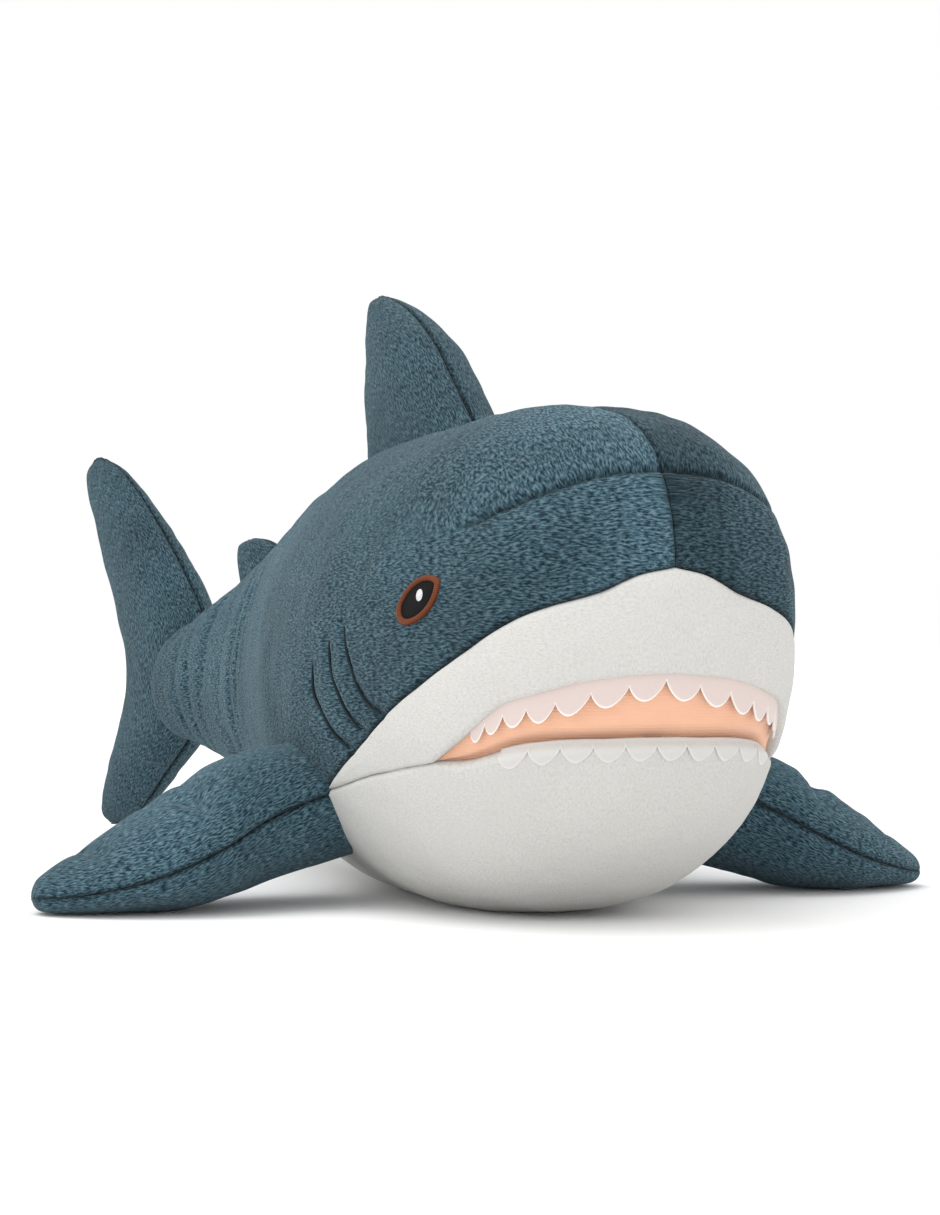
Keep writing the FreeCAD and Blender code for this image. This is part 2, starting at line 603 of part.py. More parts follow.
def main():
    insets = [FILL_GAP + SKIN, FILL_GAP + 2 * SKIN, 2 * FILL_GAP + 2 * SKIN, SKIN - FELT - FILL_GAP,
              SKIN - FILL_GAP, -FILL_GAP, -FILL_GAP - FELT]
    layers = {inset: body(inset, FRONT_SHARE) for inset in insets}
    skin = body(0.0).cut(body(SKIN))
    filling = body(FILL_GAP + SKIN)

    pieces = trunk_pieces(skin, filling, layers)
    left, right, pivot_x = pectoral_pieces()
    pieces.update(left)
    pieces.update(right)
    dorsal_bar = pivot_above(DORSAL_FRONT + BAR_INSET, DORSAL_FRONT + DORSAL_BASE - BAR_INSET, DORSAL_BARREL)
    dorsal_base = (dorsal_bar[0].z + dorsal_bar[1].z) / 2
    place = (DORSAL_FRONT, dorsal_base, DORSAL_RISE, DORSAL_BASE)
    pieces.update(standing_fin("dorsal", DORSAL_SECTIONS, dorsal_bar, DORSAL_BARREL, place,
                               DORSAL_THICKNESS))

    stalk, second, fin, second_bar = tail_pieces(skin, filling)
    for group in (stalk, second, fin):
        for name, piece in group.items():
            piece.rotate(Vector(0, TAIL_PIVOT, 0), Vector(0, 0, 1), TAIL_BEND)
            pieces[name] = piece

    front = BODY_STATIONS[0][0] * BODY_LENGTH
    back = max(fin[name].optimalBoundingBox().YMax for name in fin)
    shift = Vector(0, -(front + back) / 2, 0)
    os.makedirs("parts", exist_ok=True)
    for name, piece in pieces.items():
        piece.translate(shift)
        piece.exportStep("parts/" + name + ".step")
    turn = FreeCAD.Rotation(Vector(0, 0, 1), TAIL_BEND)
    hub = Vector(0, TAIL_PIVOT, 0)
    print("pectoral pivot", Vector(pivot_x, PECTORAL_FRONT, PECTORAL_PIVOT_HEIGHT) + shift)
    print("dorsal bar", [point + shift for point in dorsal_bar])
    print("tail pivot", hub + shift)
    print("tail fin pivot", hub + turn.multVec(Vector(0, TAIL_FIN_PIVOT, 0) - hub) + shift)
    print("second dorsal bar", [hub + turn.multVec(point - hub) + shift for point in second_bar])


main()
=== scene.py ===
import math

import bmesh
import bpy
import numpy as np
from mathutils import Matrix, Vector


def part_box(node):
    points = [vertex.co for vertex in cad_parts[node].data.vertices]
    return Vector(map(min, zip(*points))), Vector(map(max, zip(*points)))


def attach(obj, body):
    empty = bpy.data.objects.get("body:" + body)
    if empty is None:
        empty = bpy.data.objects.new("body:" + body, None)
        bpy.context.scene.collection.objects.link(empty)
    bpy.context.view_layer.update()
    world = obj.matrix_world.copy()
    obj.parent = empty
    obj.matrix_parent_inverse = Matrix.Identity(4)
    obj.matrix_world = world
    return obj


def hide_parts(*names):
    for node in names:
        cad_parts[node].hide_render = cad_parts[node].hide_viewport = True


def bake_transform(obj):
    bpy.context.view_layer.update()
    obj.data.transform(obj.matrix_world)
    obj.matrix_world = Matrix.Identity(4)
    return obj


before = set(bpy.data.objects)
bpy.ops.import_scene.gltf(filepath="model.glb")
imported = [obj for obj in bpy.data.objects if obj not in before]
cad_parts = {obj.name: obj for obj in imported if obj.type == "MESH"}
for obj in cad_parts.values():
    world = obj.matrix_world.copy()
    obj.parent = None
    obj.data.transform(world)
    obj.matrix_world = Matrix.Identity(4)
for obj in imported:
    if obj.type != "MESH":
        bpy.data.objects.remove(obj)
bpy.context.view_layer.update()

# A stuffed plush shark that lies on its belly with its tail bent to its right.
# Shapes are worked out in millimetres on a body laid straight: x to the shark's left, a distance behind the
# nose, and a height. laid() bends that body as it rests and gives metres. Angles round the body start at the
# crown and grow towards the shark's left.

# ---- sizes, in millimetres and degrees ----

LENGTH, WIDTH, HEIGHT = 450.0, 158.0, 170.0
FIRM, SOFT = 2.3, 2.0                  # squareness of a section through the head and through the tail
WIDEST = 0.47                          # share of a section's height where it is widest
END_CAP = 23.0                         # rounded end of the stalk, inside the tail fin
BEND, BEND_START, BEND_END = 14.5, 174.0, 430.0
FLOOR_PRESS = 1.5                      # how softly the underside flattens on the floor
FABRIC, LINING = 1.4, 0.8              # thickness of the plush with the roots of its pile, and of the lining
ALLOWANCE = 3.0                        # cloth turned in behind a seam
SEAM_ROUND, LIP_ROUND = 1.7, 2.2       # radius of the cloth where it turns in
PULL_REACH = 5.0                       # how far from a seam its thread pulls the cloth in
PAINTED_SHADING_REACH = 34.0                       # how far from the crown seam one panel is painted darker and the other lighter, as their piles lie differently: painted shade and light
SEAM_SHADE = 1.3                       # how far from a seam its pile lies in shade
BLUE_LUMPS = (0.6, 28.0), (0.3, 10.0)  # height and length of the lumps in the stuffing under each cloth
WHITE_LUMPS = (0.35, 30.0), (0.15, 9.0)
FIN_LUMPS = (0.6, 24.0), (0.25, 9.0)
SWAY = 3.0                             # how far brushed fibre strays from the nap
FULL_BULK = 15.0                       # a fin that is thinner than this each side has a flatter seam
LEAST_OUT = 0.35                       # a fin's cloth keeps this share of its way out from the middle
NOSE_GAP = 0.9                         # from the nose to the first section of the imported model
BACK_OF_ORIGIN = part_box("muzzle_panel")[0].y * 1000 - NOSE_GAP

STATIONS = np.array([
    # share of the length, share of half the width, top and bottom as shares of the height
    (0.000, 0.00, 0.672, 0.672), (0.002, 0.15, 0.730, 0.610), (0.009, 0.30, 0.788, 0.506),
    (0.040, 0.60, 0.900, 0.318), (0.100, 0.77, 0.971, 0.130), (0.190, 0.92, 1.000, 0.015),
    (0.300, 1.00, 0.994, -0.015), (0.433, 0.95, 0.988, -0.015), (0.589, 0.76, 0.947, 0.030),
    (0.744, 0.545, 0.835, 0.112), (0.889, 0.38, 0.690, 0.212), (1.000, 0.28, 0.594, 0.271),
    (1.080, 0.22, 0.550, 0.290),
])

# Seams as (distance behind the nose, angle from the crown).
BORDER = np.array([(0, 98), (1, 97), (2.2, 95), (5, 93), (10, 92), (21, 92), (36, 92.5), (53, 94.5), (73, 98),
                   (101, 106), (136, 116), (190, 127), (265, 145), (350, 158), (450, 166), (480, 168)], float)
UPPER_LIP = np.array([(5.4, 180), (5.8, 164.5), (7.6, 145), (11.2, 131), (17, 122), (24.5, 115.2),
                      (32.5, 113.2), (45, 113.3), (56.5, 114.3)], float)
LOWER_LIP = np.array([(14.8, 180), (15.7, 164.5), (18, 151), (22, 139.5), (29.3, 128.7), (36, 123.6),
                      (44.5, 119.6), (56.5, 114.3)], float)
JAW = np.array([(56.5, 114.3), (69, 112.3), (89, 111.8), (109, 113.3), (136, 116)], float)
DART = np.array([(10.6, 0), (10.2, 10), (12, 28), (15.6, 43), (23, 54), (35.6, 61), (47, 64)], float)
GILLS = [
    np.array([(103, 81), (100, 86), (95, 90), (87, 95), (78, 98)], float),
    np.array([(114, 83), (112, 88), (107, 92), (100, 97), (92, 101)], float),
    np.array([(128, 87), (127, 92), (120, 96), (112, 101), (102, 105)], float),
]

GILL_THREAD, THREAD_SIDES = 0.55, 10   # radius of the thread, and how many sides its section has
TOOTH_LENGTH = 6.2
NOTCHES = np.array([0, 12, 24, 35.5, 46, 55, 64, 72], float)       # along the upper lip from its middle
GUMS = np.array([2.0, 3.4, 4.3, 5.0, 4.2, 3.4, 2.0, 0.6])          # felt above each of these notches
LOWER_PITCH, LOWER_TOOTH = 10.3, 5.0
FELT = 0.9
MOUTH_DEPTH, MOUTH_ENDS = 4.6, 2.4     # how deep the lining lies in the middle and at the corners
PAST_CORNER = 1.02                     # how far past the corners it runs, as a share
GILL_GROOVE = 1.3, 1.7, 0.9, 6.0       # depth and width of the furrow, then of the valley round it
DART_GROOVE = 1.3, 1.2, 0.8, 5.0
DART_FADE = 34, 48                     # where the dart seam over the nose ends
CREASE, CREASE_WIDTH = 2.0, 3.0        # depth and half width of the creases of a pectoral fin
WRINKLE, WRINKLE_PITCH = 2.8, 20.0     # deepest fold of the tail stalk, and from one fold to the next
WRINKLES_START, WRINKLES_END = (285, 345), (425, 452)

EYE_BACK, EYE_RISE, EYE_TILT = 56.0, 105.0, -31.0
EYE_LENGTH, EYE_HEIGHT, EYE_RIM = 22.5, 13.0, 1.9
GLINT_AHEAD, GLINT_UP = 1.8, 0.3       # of the middle of the eye, along its length and across it
GLINT_WIDTH, GLINT_HEIGHT = 3.2, 3.9


# ---- curves and surfaces ----

def smoothstep(low, high, x):
    """0 below low, 1 above high, and three t squared less two t cubed between them."""
    t = np.clip((x - low) / (high - low), 0, 1)
    return t * t * (3 - 2 * t)


def through(places, values, at, tight=True):
    """A cubic through values at places. Its slope at each is the harmonic mean of the slopes on both sides,
    so that it never overshoots, or where it isn't tight, the slope from the one before to the one after."""
    places, values = np.asarray(places, float), np.asarray(values, float)
    steps = np.diff(places)
    slopes = np.diff(values) / steps
    if tight:
        same = slopes[:-1] * slopes[1:] > 0
        inner = np.where(same, 2 * slopes[:-1] * slopes[1:] / np.where(same, slopes[:-1] + slopes[1:], 1), 0)
    else:
        inner = (values[2:] - values[:-2]) / (places[2:] - places[:-2])
    tangents = np.concatenate([slopes[:1], inner, slopes[-1:]])
    at = np.clip(at, places[0], places[-1])
    i = np.clip(np.searchsorted(places, at, side="right") - 1, 0, len(steps) - 1)
    step = steps[i]
    t = (at - places[i]) / step
    return ((2 * t**3 - 3 * t**2 + 1) * values[i] + (t**3 - 2 * t**2 + t) * step * tangents[i]
            + (3 * t**2 - 2 * t**3) * values[i + 1] + (t**3 - t**2) * step * tangents[i + 1])


def power(value, exponent):
    """A power that keeps its sign."""
    return np.sign(value) * np.abs(value) ** exponent


def section(back):
    """Half width, top, bottom, widest level and roundness of the body at distances behind the nose."""
    share = np.clip(back, 0, None) / LENGTH
    half, top, bottom = (through(np.sqrt(STATIONS[:, 0]), STATIONS[:, k], np.sqrt(share)) * size
                         for k, size in ((1, WIDTH / 2), (2, HEIGHT), (3, HEIGHT)))
    level = bottom + (top - bottom) * WIDEST
    cap = np.sqrt(np.clip(1 - (np.clip(back - LENGTH, 0, None) / END_CAP) ** 2, 0, 1))
    softness = np.clip((share - 0.13) / 0.45, 0, 1)
    roundness = 2 / (FIRM + (SOFT - FIRM) * softness)
    return half * cap, level + (top - level) * cap, level - (level - bottom) * cap, level, roundness


def body(back, angle):
    """Points of the body at distances behind the nose and angles in degrees from the crown: a superellipse in
    each section, taller above its widest level than below it."""
    back, angle = np.broadcast_arrays(np.asarray(back, float), np.radians(np.asarray(angle, float)))
    half, top, bottom, level, roundness = section(back)
    up = power(np.cos(angle), roundness)
    x = half * power(np.sin(angle), roundness)
    return np.stack([x, back, level + up * np.where(up > 0, top - level, level - bottom)], -1)


def side(back, height, left):
    """Points of the body's left (1) or right (-1) side at distances behind the nose and heights."""
    half, top, bottom, level, roundness = section(back)
    reach = np.clip(np.abs(height - level) / np.where(height > level, top - level, level - bottom), 0, 1)
    across = half * (1 - reach ** (2 / roundness)) ** (roundness / 2)
    return np.stack([left * across, back, height], -1)


def heading(back):
    """How far the body's line has turned to the shark's right, in radians."""
    return math.radians(BEND) * smoothstep(BEND_START, BEND_END, back)


LINE = np.arange(0, 640.0)
LINE_X = -np.concatenate([[0], np.cumsum(np.sin(heading(LINE[:-1] + 0.5)))])
LINE_Y = np.concatenate([[0], np.cumsum(np.cos(heading(LINE[:-1] + 0.5)))])


def laid(points):
    """Bends straight points along the resting body's line, sets them on the floor, and gives metres."""
    x, back, z = points[..., 0], points[..., 1], points[..., 2]
    turn = heading(back)
    ahead = np.minimum(back, 0)
    bent = np.stack([
        np.interp(back, LINE, LINE_X) + x * np.cos(turn),
        np.interp(back, LINE, LINE_Y) + ahead + x * np.sin(turn) + BACK_OF_ORIGIN,
        (z + np.sqrt(z * z + FLOOR_PRESS**2)) / 2,
    ], -1)
    return bent / 1000


def chart(back, angle):
    """Flat chart of the head round the nose: its radius is the root of the distance behind the nose."""
    angle = np.radians(angle)
    return np.sqrt(back) * np.sin(angle), np.sqrt(back) * np.cos(angle)


def from_chart(across, up):
    """Points of the body at places of the chart."""
    return body(across**2 + up**2, np.degrees(np.arctan2(across, up)))


def chart_line(table):
    """Height in the chart of a seam that runs alike on both sides, at places x."""
    across, up = chart(table[:, 0], table[:, 1])
    return lambda x: through(across, up, np.abs(x))


def border_angle(back):
    """Angle from the crown of the border between the teal and the white cloth."""
    return through(BORDER[:, 0], BORDER[:, 1], back)


CORNER = chart(*UPPER_LIP[-1])[0]
CHEEK = chart(*JAW[-1])[0]
UPPER, LOWER, JAW_LINE = chart_line(UPPER_LIP), chart_line(LOWER_LIP), chart_line(JAW)
HEAD_BACK = np.linspace(0, math.sqrt(JAW[-1, 0]), 900) ** 2
HEAD_X, HEAD_Y = chart(HEAD_BACK, border_angle(HEAD_BACK))


def then_jaw(lip):
    """An edge in the chart: a lip, then the seam that leaves the corner of the mouth."""
    return lambda x: np.where(np.abs(x) < CORNER, lip(x), JAW_LINE(x))


upper_edge, lower_edge = then_jaw(UPPER), then_jaw(LOWER)


def muzzle_top(x):
    """Upper edge of the muzzle in the chart: the colour border."""
    return np.interp(np.abs(x), HEAD_X, HEAD_Y)


EDGE_X = np.linspace(0, CHEEK, 900)
EDGE_BACK = EDGE_X**2 + lower_edge(EDGE_X) ** 2
EDGE_ANGLE = np.degrees(np.arctan2(EDGE_X, lower_edge(EDGE_X)))


def belly_angle(back):
    """Angle of the belly's upper edge: lower lip, jaw seam and then the colour border."""
    return np.where(back < JAW[-1, 0], np.interp(back, EDGE_BACK, EDGE_ANGLE), border_angle(back))


CHEST, HEAD = (0, 200, 80), (0, 90, 85)        # places inside the body that its cloth faces away from


def unit(vectors):
    """Vectors shortened or lengthened to one."""
    return vectors / np.maximum(np.linalg.norm(vectors, axis=-1, keepdims=True), 1e-9)


def outward(points, behind):
    """Unit normals of a grid: the cross product of its two directions, turned away from a point behind it,
    and straight away from that point where the grid closes in a pole."""
    away = unit(points - np.asarray(behind, float))
    cross = np.cross(np.gradient(points, axis=0), np.gradient(points, axis=1))
    size = np.linalg.norm(cross, axis=-1, keepdims=True)
    facing = np.sign(np.sum(cross * away)) * unit(cross)
    return np.where(size > 1e-6, facing, away)


def distance(points, line):
    """Distance of points from a line of points: the least over its straight pieces."""
    least = np.full(points.shape[:-1], 1e9)
    for start, end in zip(line[:-1], line[1:]):
        along = end - start
        t = np.clip((points - start) @ along / max(along @ along, 1e-9), 0, 1)
        least = np.minimum(least, np.linalg.norm(points - start - t[..., None] * along, axis=-1))
    return least


def turned_in(gap, radius, pull, reach=PULL_REACH):
    """How deep cloth lies at a distance from its seam: a quarter circle at the seam and a shallow valley that
    fades away from it."""
    near = np.clip(radius - gap, 0, radius)
    return radius - np.sqrt(radius**2 - near**2) + pull * np.exp(-gap / reach)


def groove(gap, deep, narrow, shallow, wide):
    """Depth of cloth at a distance from a stitched line: a narrow furrow in a wide shallow valley."""
    return deep * np.exp(-(gap / narrow) ** 2) + shallow * np.exp(-gap / wide)


def seam_shade(gap):
    """How much of the light a seam keeps out of the pile beside it."""
    return np.exp(-(gap / SEAM_SHADE) ** 2)


def ripple(points, size, seed):
    """Smooth unevenness from -1 to 1: the mean of sine waves that run in directions drawn from a seed."""
    draw = np.random.default_rng(seed)
    directions = unit(draw.normal(size=(9, 3)))
    lengths = size * draw.uniform(0.7, 1.6, 9)
    phases = draw.uniform(0, 2 * math.pi, 9)
    return np.mean(np.sin(points @ (directions / lengths[:, None]).T * 2 * math.pi + phases), -1) * 1.6


def lumps(points, waves, seed):
    """Unevenness of the stuffing: ripples of several heights and lengths, each from a seed of its own."""
    return sum(height * ripple(points, length, seed + k) for k, (height, length) in enumerate(waves))


def eased(count, ease=0.6):
    """Places from 0 to 1 that lie closer together at both ends."""
    t = np.linspace(0, 1, count)
    return t - ease * np.sin(2 * math.pi * t) / (2 * math.pi)


def ring_of(count):
    """Angles once round a ring, in radians."""
    return np.linspace(0, 2 * math.pi, count, endpoint=False)


def walked_along(line):
    """Length walked from the first point of a line to each of its points."""
    return np.concatenate([[0], np.cumsum(np.linalg.norm(np.diff(line, axis=0), axis=-1))])


def rows_to_tail(first, split, near, far, cap):
    """Distances behind the nose: from the first, closer together at it, to where they split, then even along
    the body, and then round its end cap, near, far and cap of them."""
    return np.concatenate([first + (split - first) * np.linspace(0, 1, near)[:-1] ** 2,
                           np.linspace(split, LENGTH, far)[:-1],
                           LENGTH + END_CAP * np.sin(np.linspace(0, math.pi / 2, cap))])


def tucked(points, normals, fields, allowance=ALLOWANCE):
    """Adds the seam allowance: one more column at each side edge, straight in behind the seam."""
    first = points[:, :1] - normals[:, :1] * allowance
    last = points[:, -1:] - normals[:, -1:] * allowance
    wider = {name: np.pad(values, [(0, 0), (1, 1)] + [(0, 0)] * (values.ndim - 2), mode="edge")
             for name, values in fields.items()}
    return np.concatenate([first, points, last], 1), wider


# ---- meshes ----

def surface(name, grids, material, fields=None, round_ring=False, behind=None):
    """A mesh from one or more grids of points in metres, in quads between neighbours, welded where points
    meet. Pairs of values become UV maps, and single values become attributes. The last column joins the first
    in a round ring. Faces of an open sheet are turned away from a point behind it."""
    grids = grids if isinstance(grids, list) else [grids]
    fields = fields or {}
    corners, offset = [], 0
    for grid in grids:
        rows, columns = grid.shape[:2]
        index = np.arange(rows * columns).reshape(rows, columns) + offset
        if round_ring:
            index = np.concatenate([index, index[:, :1]], 1)
        quads = np.stack([index[:-1, :-1], index[:-1, 1:], index[1:, 1:], index[1:, :-1]], -1).reshape(-1, 4)
        corners.append(quads)
        offset += rows * columns
    points = np.concatenate([grid.reshape(-1, 3) for grid in grids])
    corners = np.concatenate(corners)
    if behind is not None:
        a, b, c = (points[corners[:, k]] for k in (0, 1, 2))
        middle = points[corners].mean(1)
        if np.sum(np.cross(b - a, c - a) * unit(middle - np.asarray(behind))) < 0:
            corners = corners[:, ::-1]
    mesh = bpy.data.meshes.new(name)
    mesh.vertices.add(len(points))
    mesh.vertices.foreach_set("co", points.astype(np.float32).ravel())
    mesh.loops.add(corners.size)
    mesh.loops.foreach_set("vertex_index", corners.astype(np.int32).ravel())
    mesh.polygons.add(len(corners))
    mesh.polygons.foreach_set("loop_start", np.arange(0, corners.size, 4, dtype=np.int32))
    mesh.update(calc_edges=True)
    for key, values in fields.items():
        if values.ndim == 3:
            layer = mesh.uv_layers.new(name=key)
            layer.data.foreach_set("uv", values.reshape(-1, 2)[corners.ravel()].astype(np.float32).ravel())
        else:
            attribute = mesh.attributes.new(key, "FLOAT", "POINT")
            attribute.data.foreach_set("value", values.astype(np.float32).ravel())
    work = bmesh.new()
    work.from_mesh(mesh)
    bmesh.ops.remove_doubles(work, verts=work.verts, dist=2e-5)
    if behind is None:
        bmesh.ops.recalc_face_normals(work, faces=work.faces)
    work.to_mesh(mesh)
    work.free()
    mesh.polygons.foreach_set("use_smooth", np.ones(len(mesh.polygons), bool))
    mesh.materials.append(material)
    made = bpy.data.objects.new(name, mesh)
    bpy.context.scene.collection.objects.link(made)
    return made


def cloth(piece, thickness=FABRIC):
    """Gives a sheet its thickness, inwards."""
    solid = piece.modifiers.new("thickness", "SOLIDIFY")
    solid.thickness = thickness / 1000
    solid.offset = -1
    return piece


# ---- materials ----

def colour(code):
    """Linear colour of an sRGB hex code."""
    shares = [int(code[i:i + 2], 16) / 255 for i in (0, 2, 4)]
    return tuple(v / 12.92 if v <= 0.04045 else ((v + 0.055) / 1.055) ** 2.4 for v in shares) + (1.0,)


def new_material(name):
    """An empty material, and the function that adds a node to it with its settings. An input is a number, a
    colour, another node's output, or a node whose first output is meant."""
    made = bpy.data.materials.new(name)
    made.use_nodes = True
    tree = made.node_tree
    tree.nodes.clear()

    def add(kind, inputs=None, **settings):
        node = tree.nodes.new(kind)
        for key, value in settings.items():
            setattr(node, key, value)
        for key, value in (inputs or {}).items():
            value = value.outputs[0] if isinstance(value, bpy.types.Node) else value
            if isinstance(value, bpy.types.NodeSocket):
                tree.links.new(value, node.inputs[key])
            else:
                node.inputs[key].default_value = value
        return node

    return made, add


MIX_A, MIX_B, MIX_RESULT = 6, 7, 2     # sockets of a colour mix


def pile(add, width, length):
    """Height of a brushed pile from 0 to 1: noise drawn out along the nap, which runs along the second number
    of the maps in millimetres. The paths sway a little, as brushed fibre does, and two maps meet where the
    cloth is pieced."""
    place = add("ShaderNodeTexCoord").outputs["Object"]
    drift = add("ShaderNodeTexNoise", {"Vector": place, "Scale": 75.0, "Detail": 1.0})
    centred = add("ShaderNodeVectorMath", {0: drift.outputs["Color"], 1: (0.5, 0.5, 0.5)},
                  operation="SUBTRACT")
    shift = add("ShaderNodeVectorMath", {0: centred, "Scale": SWAY}, operation="SCALE")
    heights = []
    for name, seed in (("nap_side", 0.0), ("nap_top", 31.0)):
        flat = add("ShaderNodeUVMap", uv_map=name)
        moved = add("ShaderNodeVectorMath", {0: flat, 1: shift}, operation="ADD")
        scaled = add("ShaderNodeMapping", {"Vector": moved, "Location": (0, 0, seed),
                                           "Scale": (1 / width, 1 / length, 0.4)})
        heights.append(add("ShaderNodeTexNoise", {"Vector": scaled, "Scale": 1.0, "Detail": 2.0,
                                                  "Roughness": 0.55}))
    crown = add("ShaderNodeAttribute", attribute_name="crown")
    return add("ShaderNodeMix", {0: crown.outputs["Fac"], 2: heights[0], 3: heights[1]}), place


def plush(name, shades, width, length, depth, patch, sheen, seam):
    """Knitted plush with a short brushed pile: painted shade between the tufts and painted light at their
    tips, lighter and darker by a share in random patches and by painted light and shade from an attribute,
    and with a soft light edge where the tips are seen from the side. Beside a seam it is darkened by a share:
    painted shade."""
    made, add = new_material(name)
    height, place = pile(add, width, length)
    # The ramp paints shade where the pile is low and light on its tips.
    ramp = add("ShaderNodeValToRGB", {"Fac": height})
    stops = ramp.color_ramp.elements
    stops[0].position, stops[0].color = shades[0][0], colour(shades[0][1])
    stops[1].position, stops[1].color = shades[-1][0], colour(shades[-1][1])
    for position, code in shades[1:-1]:
        stops.new(position).color = colour(code)
    brushed = add("ShaderNodeTexNoise", {"Vector": place, "Scale": 28.0, "Detail": 2.0})
    # Painted light and shade from an attribute, added to the random patches.
    painted_shading = add("ShaderNodeAttribute", attribute_name="painted_shading")
    patches_and_painted_shading = add("ShaderNodeMath", {0: painted_shading.outputs["Fac"], 1: 0.5, 2: brushed}, operation="MULTIPLY_ADD")
    light = add("ShaderNodeMapRange", {"Value": patches_and_painted_shading, "From Min": 0.0, "From Max": 1.0,
                                       "To Min": 1 - patch, "To Max": 1 + patch}, clamp=False)
    shaded = add("ShaderNodeVectorMath", {0: ramp, "Scale": light}, operation="SCALE")
    # Painted shade beside seams: there the pile is darkened by a share.
    near_seam = add("ShaderNodeAttribute", attribute_name="seam")
    painted_seam_shade = add("ShaderNodeMapRange", {"Value": near_seam.outputs["Fac"], "To Min": 1.0,
                                           "To Max": seam})
    shaded = add("ShaderNodeVectorMath", {0: shaded, "Scale": painted_seam_shade}, operation="SCALE")
    bump = add("ShaderNodeBump", {"Height": height, "Strength": 0.9, "Distance": depth})
    shader = add("ShaderNodeBsdfPrincipled",
                 {"Base Color": shaded, "Normal": bump, "Roughness": 0.95, "Specular IOR Level": 0.12,
                  "Sheen Weight": sheen[0], "Sheen Roughness": 0.45, "Sheen Tint": colour(sheen[1])})
    add("ShaderNodeOutputMaterial", {"Surface": shader})
    return made


def two_toned(add, share, tones, height, bump, gloss, **sheen):
    """Ends a fabric's material: a share between two tones, a bump of (strength, metres), and (roughness,
    specular level)."""
    tone = add("ShaderNodeMix", {0: share, MIX_A: colour(tones[0]), MIX_B: colour(tones[1])},
               data_type="RGBA")
    raised = add("ShaderNodeBump", {"Height": height, "Strength": bump[0], "Distance": bump[1]})
    inputs = {key.replace("_", " "): value for key, value in sheen.items()}
    shader = add("ShaderNodeBsdfPrincipled",
                 {"Base Color": tone.outputs[MIX_RESULT], "Normal": raised, "Roughness": gloss[0],
                  "Specular IOR Level": gloss[1], **inputs})
    add("ShaderNodeOutputMaterial", {"Surface": shader})


def jersey(name, code, shade, pitch):
    """Smooth knitted lining: matt, with fine courses, a pitch in millimetres apart, and a slightly deeper
    tone here and there."""
    made, add = new_material(name)
    place = add("ShaderNodeTexCoord").outputs["Object"]
    rows = add("ShaderNodeTexWave", {"Vector": place, "Scale": 160 / pitch, "Distortion": 1.5,
                                     "Detail": 2.0, "Detail Scale": 6.0}, bands_direction="Z")
    soft = add("ShaderNodeTexNoise", {"Vector": place, "Scale": 60.0, "Detail": 3.0})
    two_toned(add, soft, (shade, code), rows.outputs["Fac"], (0.35, 0.0002), (0.9, 0.2),
              Sheen_Weight=0.3, Sheen_Roughness=0.5)
    return made


def felt(name, code, edge, rim_width):
    """Pressed felt, cut to shape: matt and fibrous, with a brighter line along its cut edge."""
    made, add = new_material(name)
    place = add("ShaderNodeTexCoord").outputs["Object"]
    fibres = add("ShaderNodeTexNoise", {"Vector": place, "Scale": 900.0, "Detail": 4.0, "Roughness": 0.7})
    rim = add("ShaderNodeAttribute", attribute_name="rim")
    bright = add("ShaderNodeMapRange", {"Value": rim.outputs["Fac"], "From Min": rim_width * 0.5,
                                        "From Max": rim_width, "To Min": 1.0, "To Max": 0.0})
    two_toned(add, bright, (code, edge), fibres, (0.5, 0.0002), (0.85, 0.2), Sheen_Weight=0.25)
    return made


def thread(name, code, shade, roughness, gloss, pitch):
    """Satin stitching: glossy polyester thread laid side by side, a stitch width apart along the first number
    of the stitch map, in millimetres."""
    made, add = new_material(name)
    flat = add("ShaderNodeUVMap", uv_map="stitch")
    scaled = add("ShaderNodeMapping", {"Vector": flat, "Scale": (1 / pitch, 0.08 / pitch, 1)})
    rows = add("ShaderNodeTexWave", {"Vector": scaled, "Scale": 0.31, "Distortion": 2.2, "Detail": 2.0,
                                     "Detail Scale": 1.5}, bands_direction="X")
    rows = rows.outputs["Fac"]
    # The darker tone in the furrows between the stitches is painted shade.
    two_toned(add, rows, (shade, code), rows, (0.8, 0.00025), (roughness, gloss))
    return made


# Teal plush, pile about 2 mm, brushed from nose to tail: tufts 0.6 mm wide and 2 mm long, painted shade
# between them.
BLUE = plush("teal_short_pile_plush", [(0.36, "15252d"), (0.5, "344c56"), (0.66, "566e78")],
             0.6, 2.1, 0.0008, 0.4, (0.15, "c9dde4"), 0.4)
# The same cloth undyed: finer tufts, which hardly show.
WHITE = plush("white_short_pile_plush", [(0.3, "c4c3bf"), (0.5, "cdccc8"), (0.7, "d3d2cf")],
              0.6, 1.1, 0.0002, 0.04, (0.05, "ffffff"), 1.0)
PEACH = jersey("peach_polyester_jersey", "f3c1a3", "eeb696", 0.5)
FELT_UPPER = felt("white_pressed_felt", "dbcbc5", "f4f1ef", 0.9)
FELT_LOWER = felt("white_pressed_felt_folded", "d0cfcb", "dad9d6", 1.2)
BROWN = thread("rust_satin_stitch", "8f4a26", "552713", 0.5, 0.2, 0.5)
BLACK = thread("black_satin_stitch", "0c0c10", "040405", 0.55, 0.12, 0.5)
GLINT = thread("white_satin_stitch", "ffffff", "c4c8cc", 0.45, 0.3, 0.5)
BLUE_THREAD = thread("dark_teal_sewing_thread", "1c2c34", "0d171c", 0.6, 0.2, 0.8)
FILLING = felt("polyester_fibre_filling", "eeeeea", "eeeeea", 0.5)


# ---- body ----

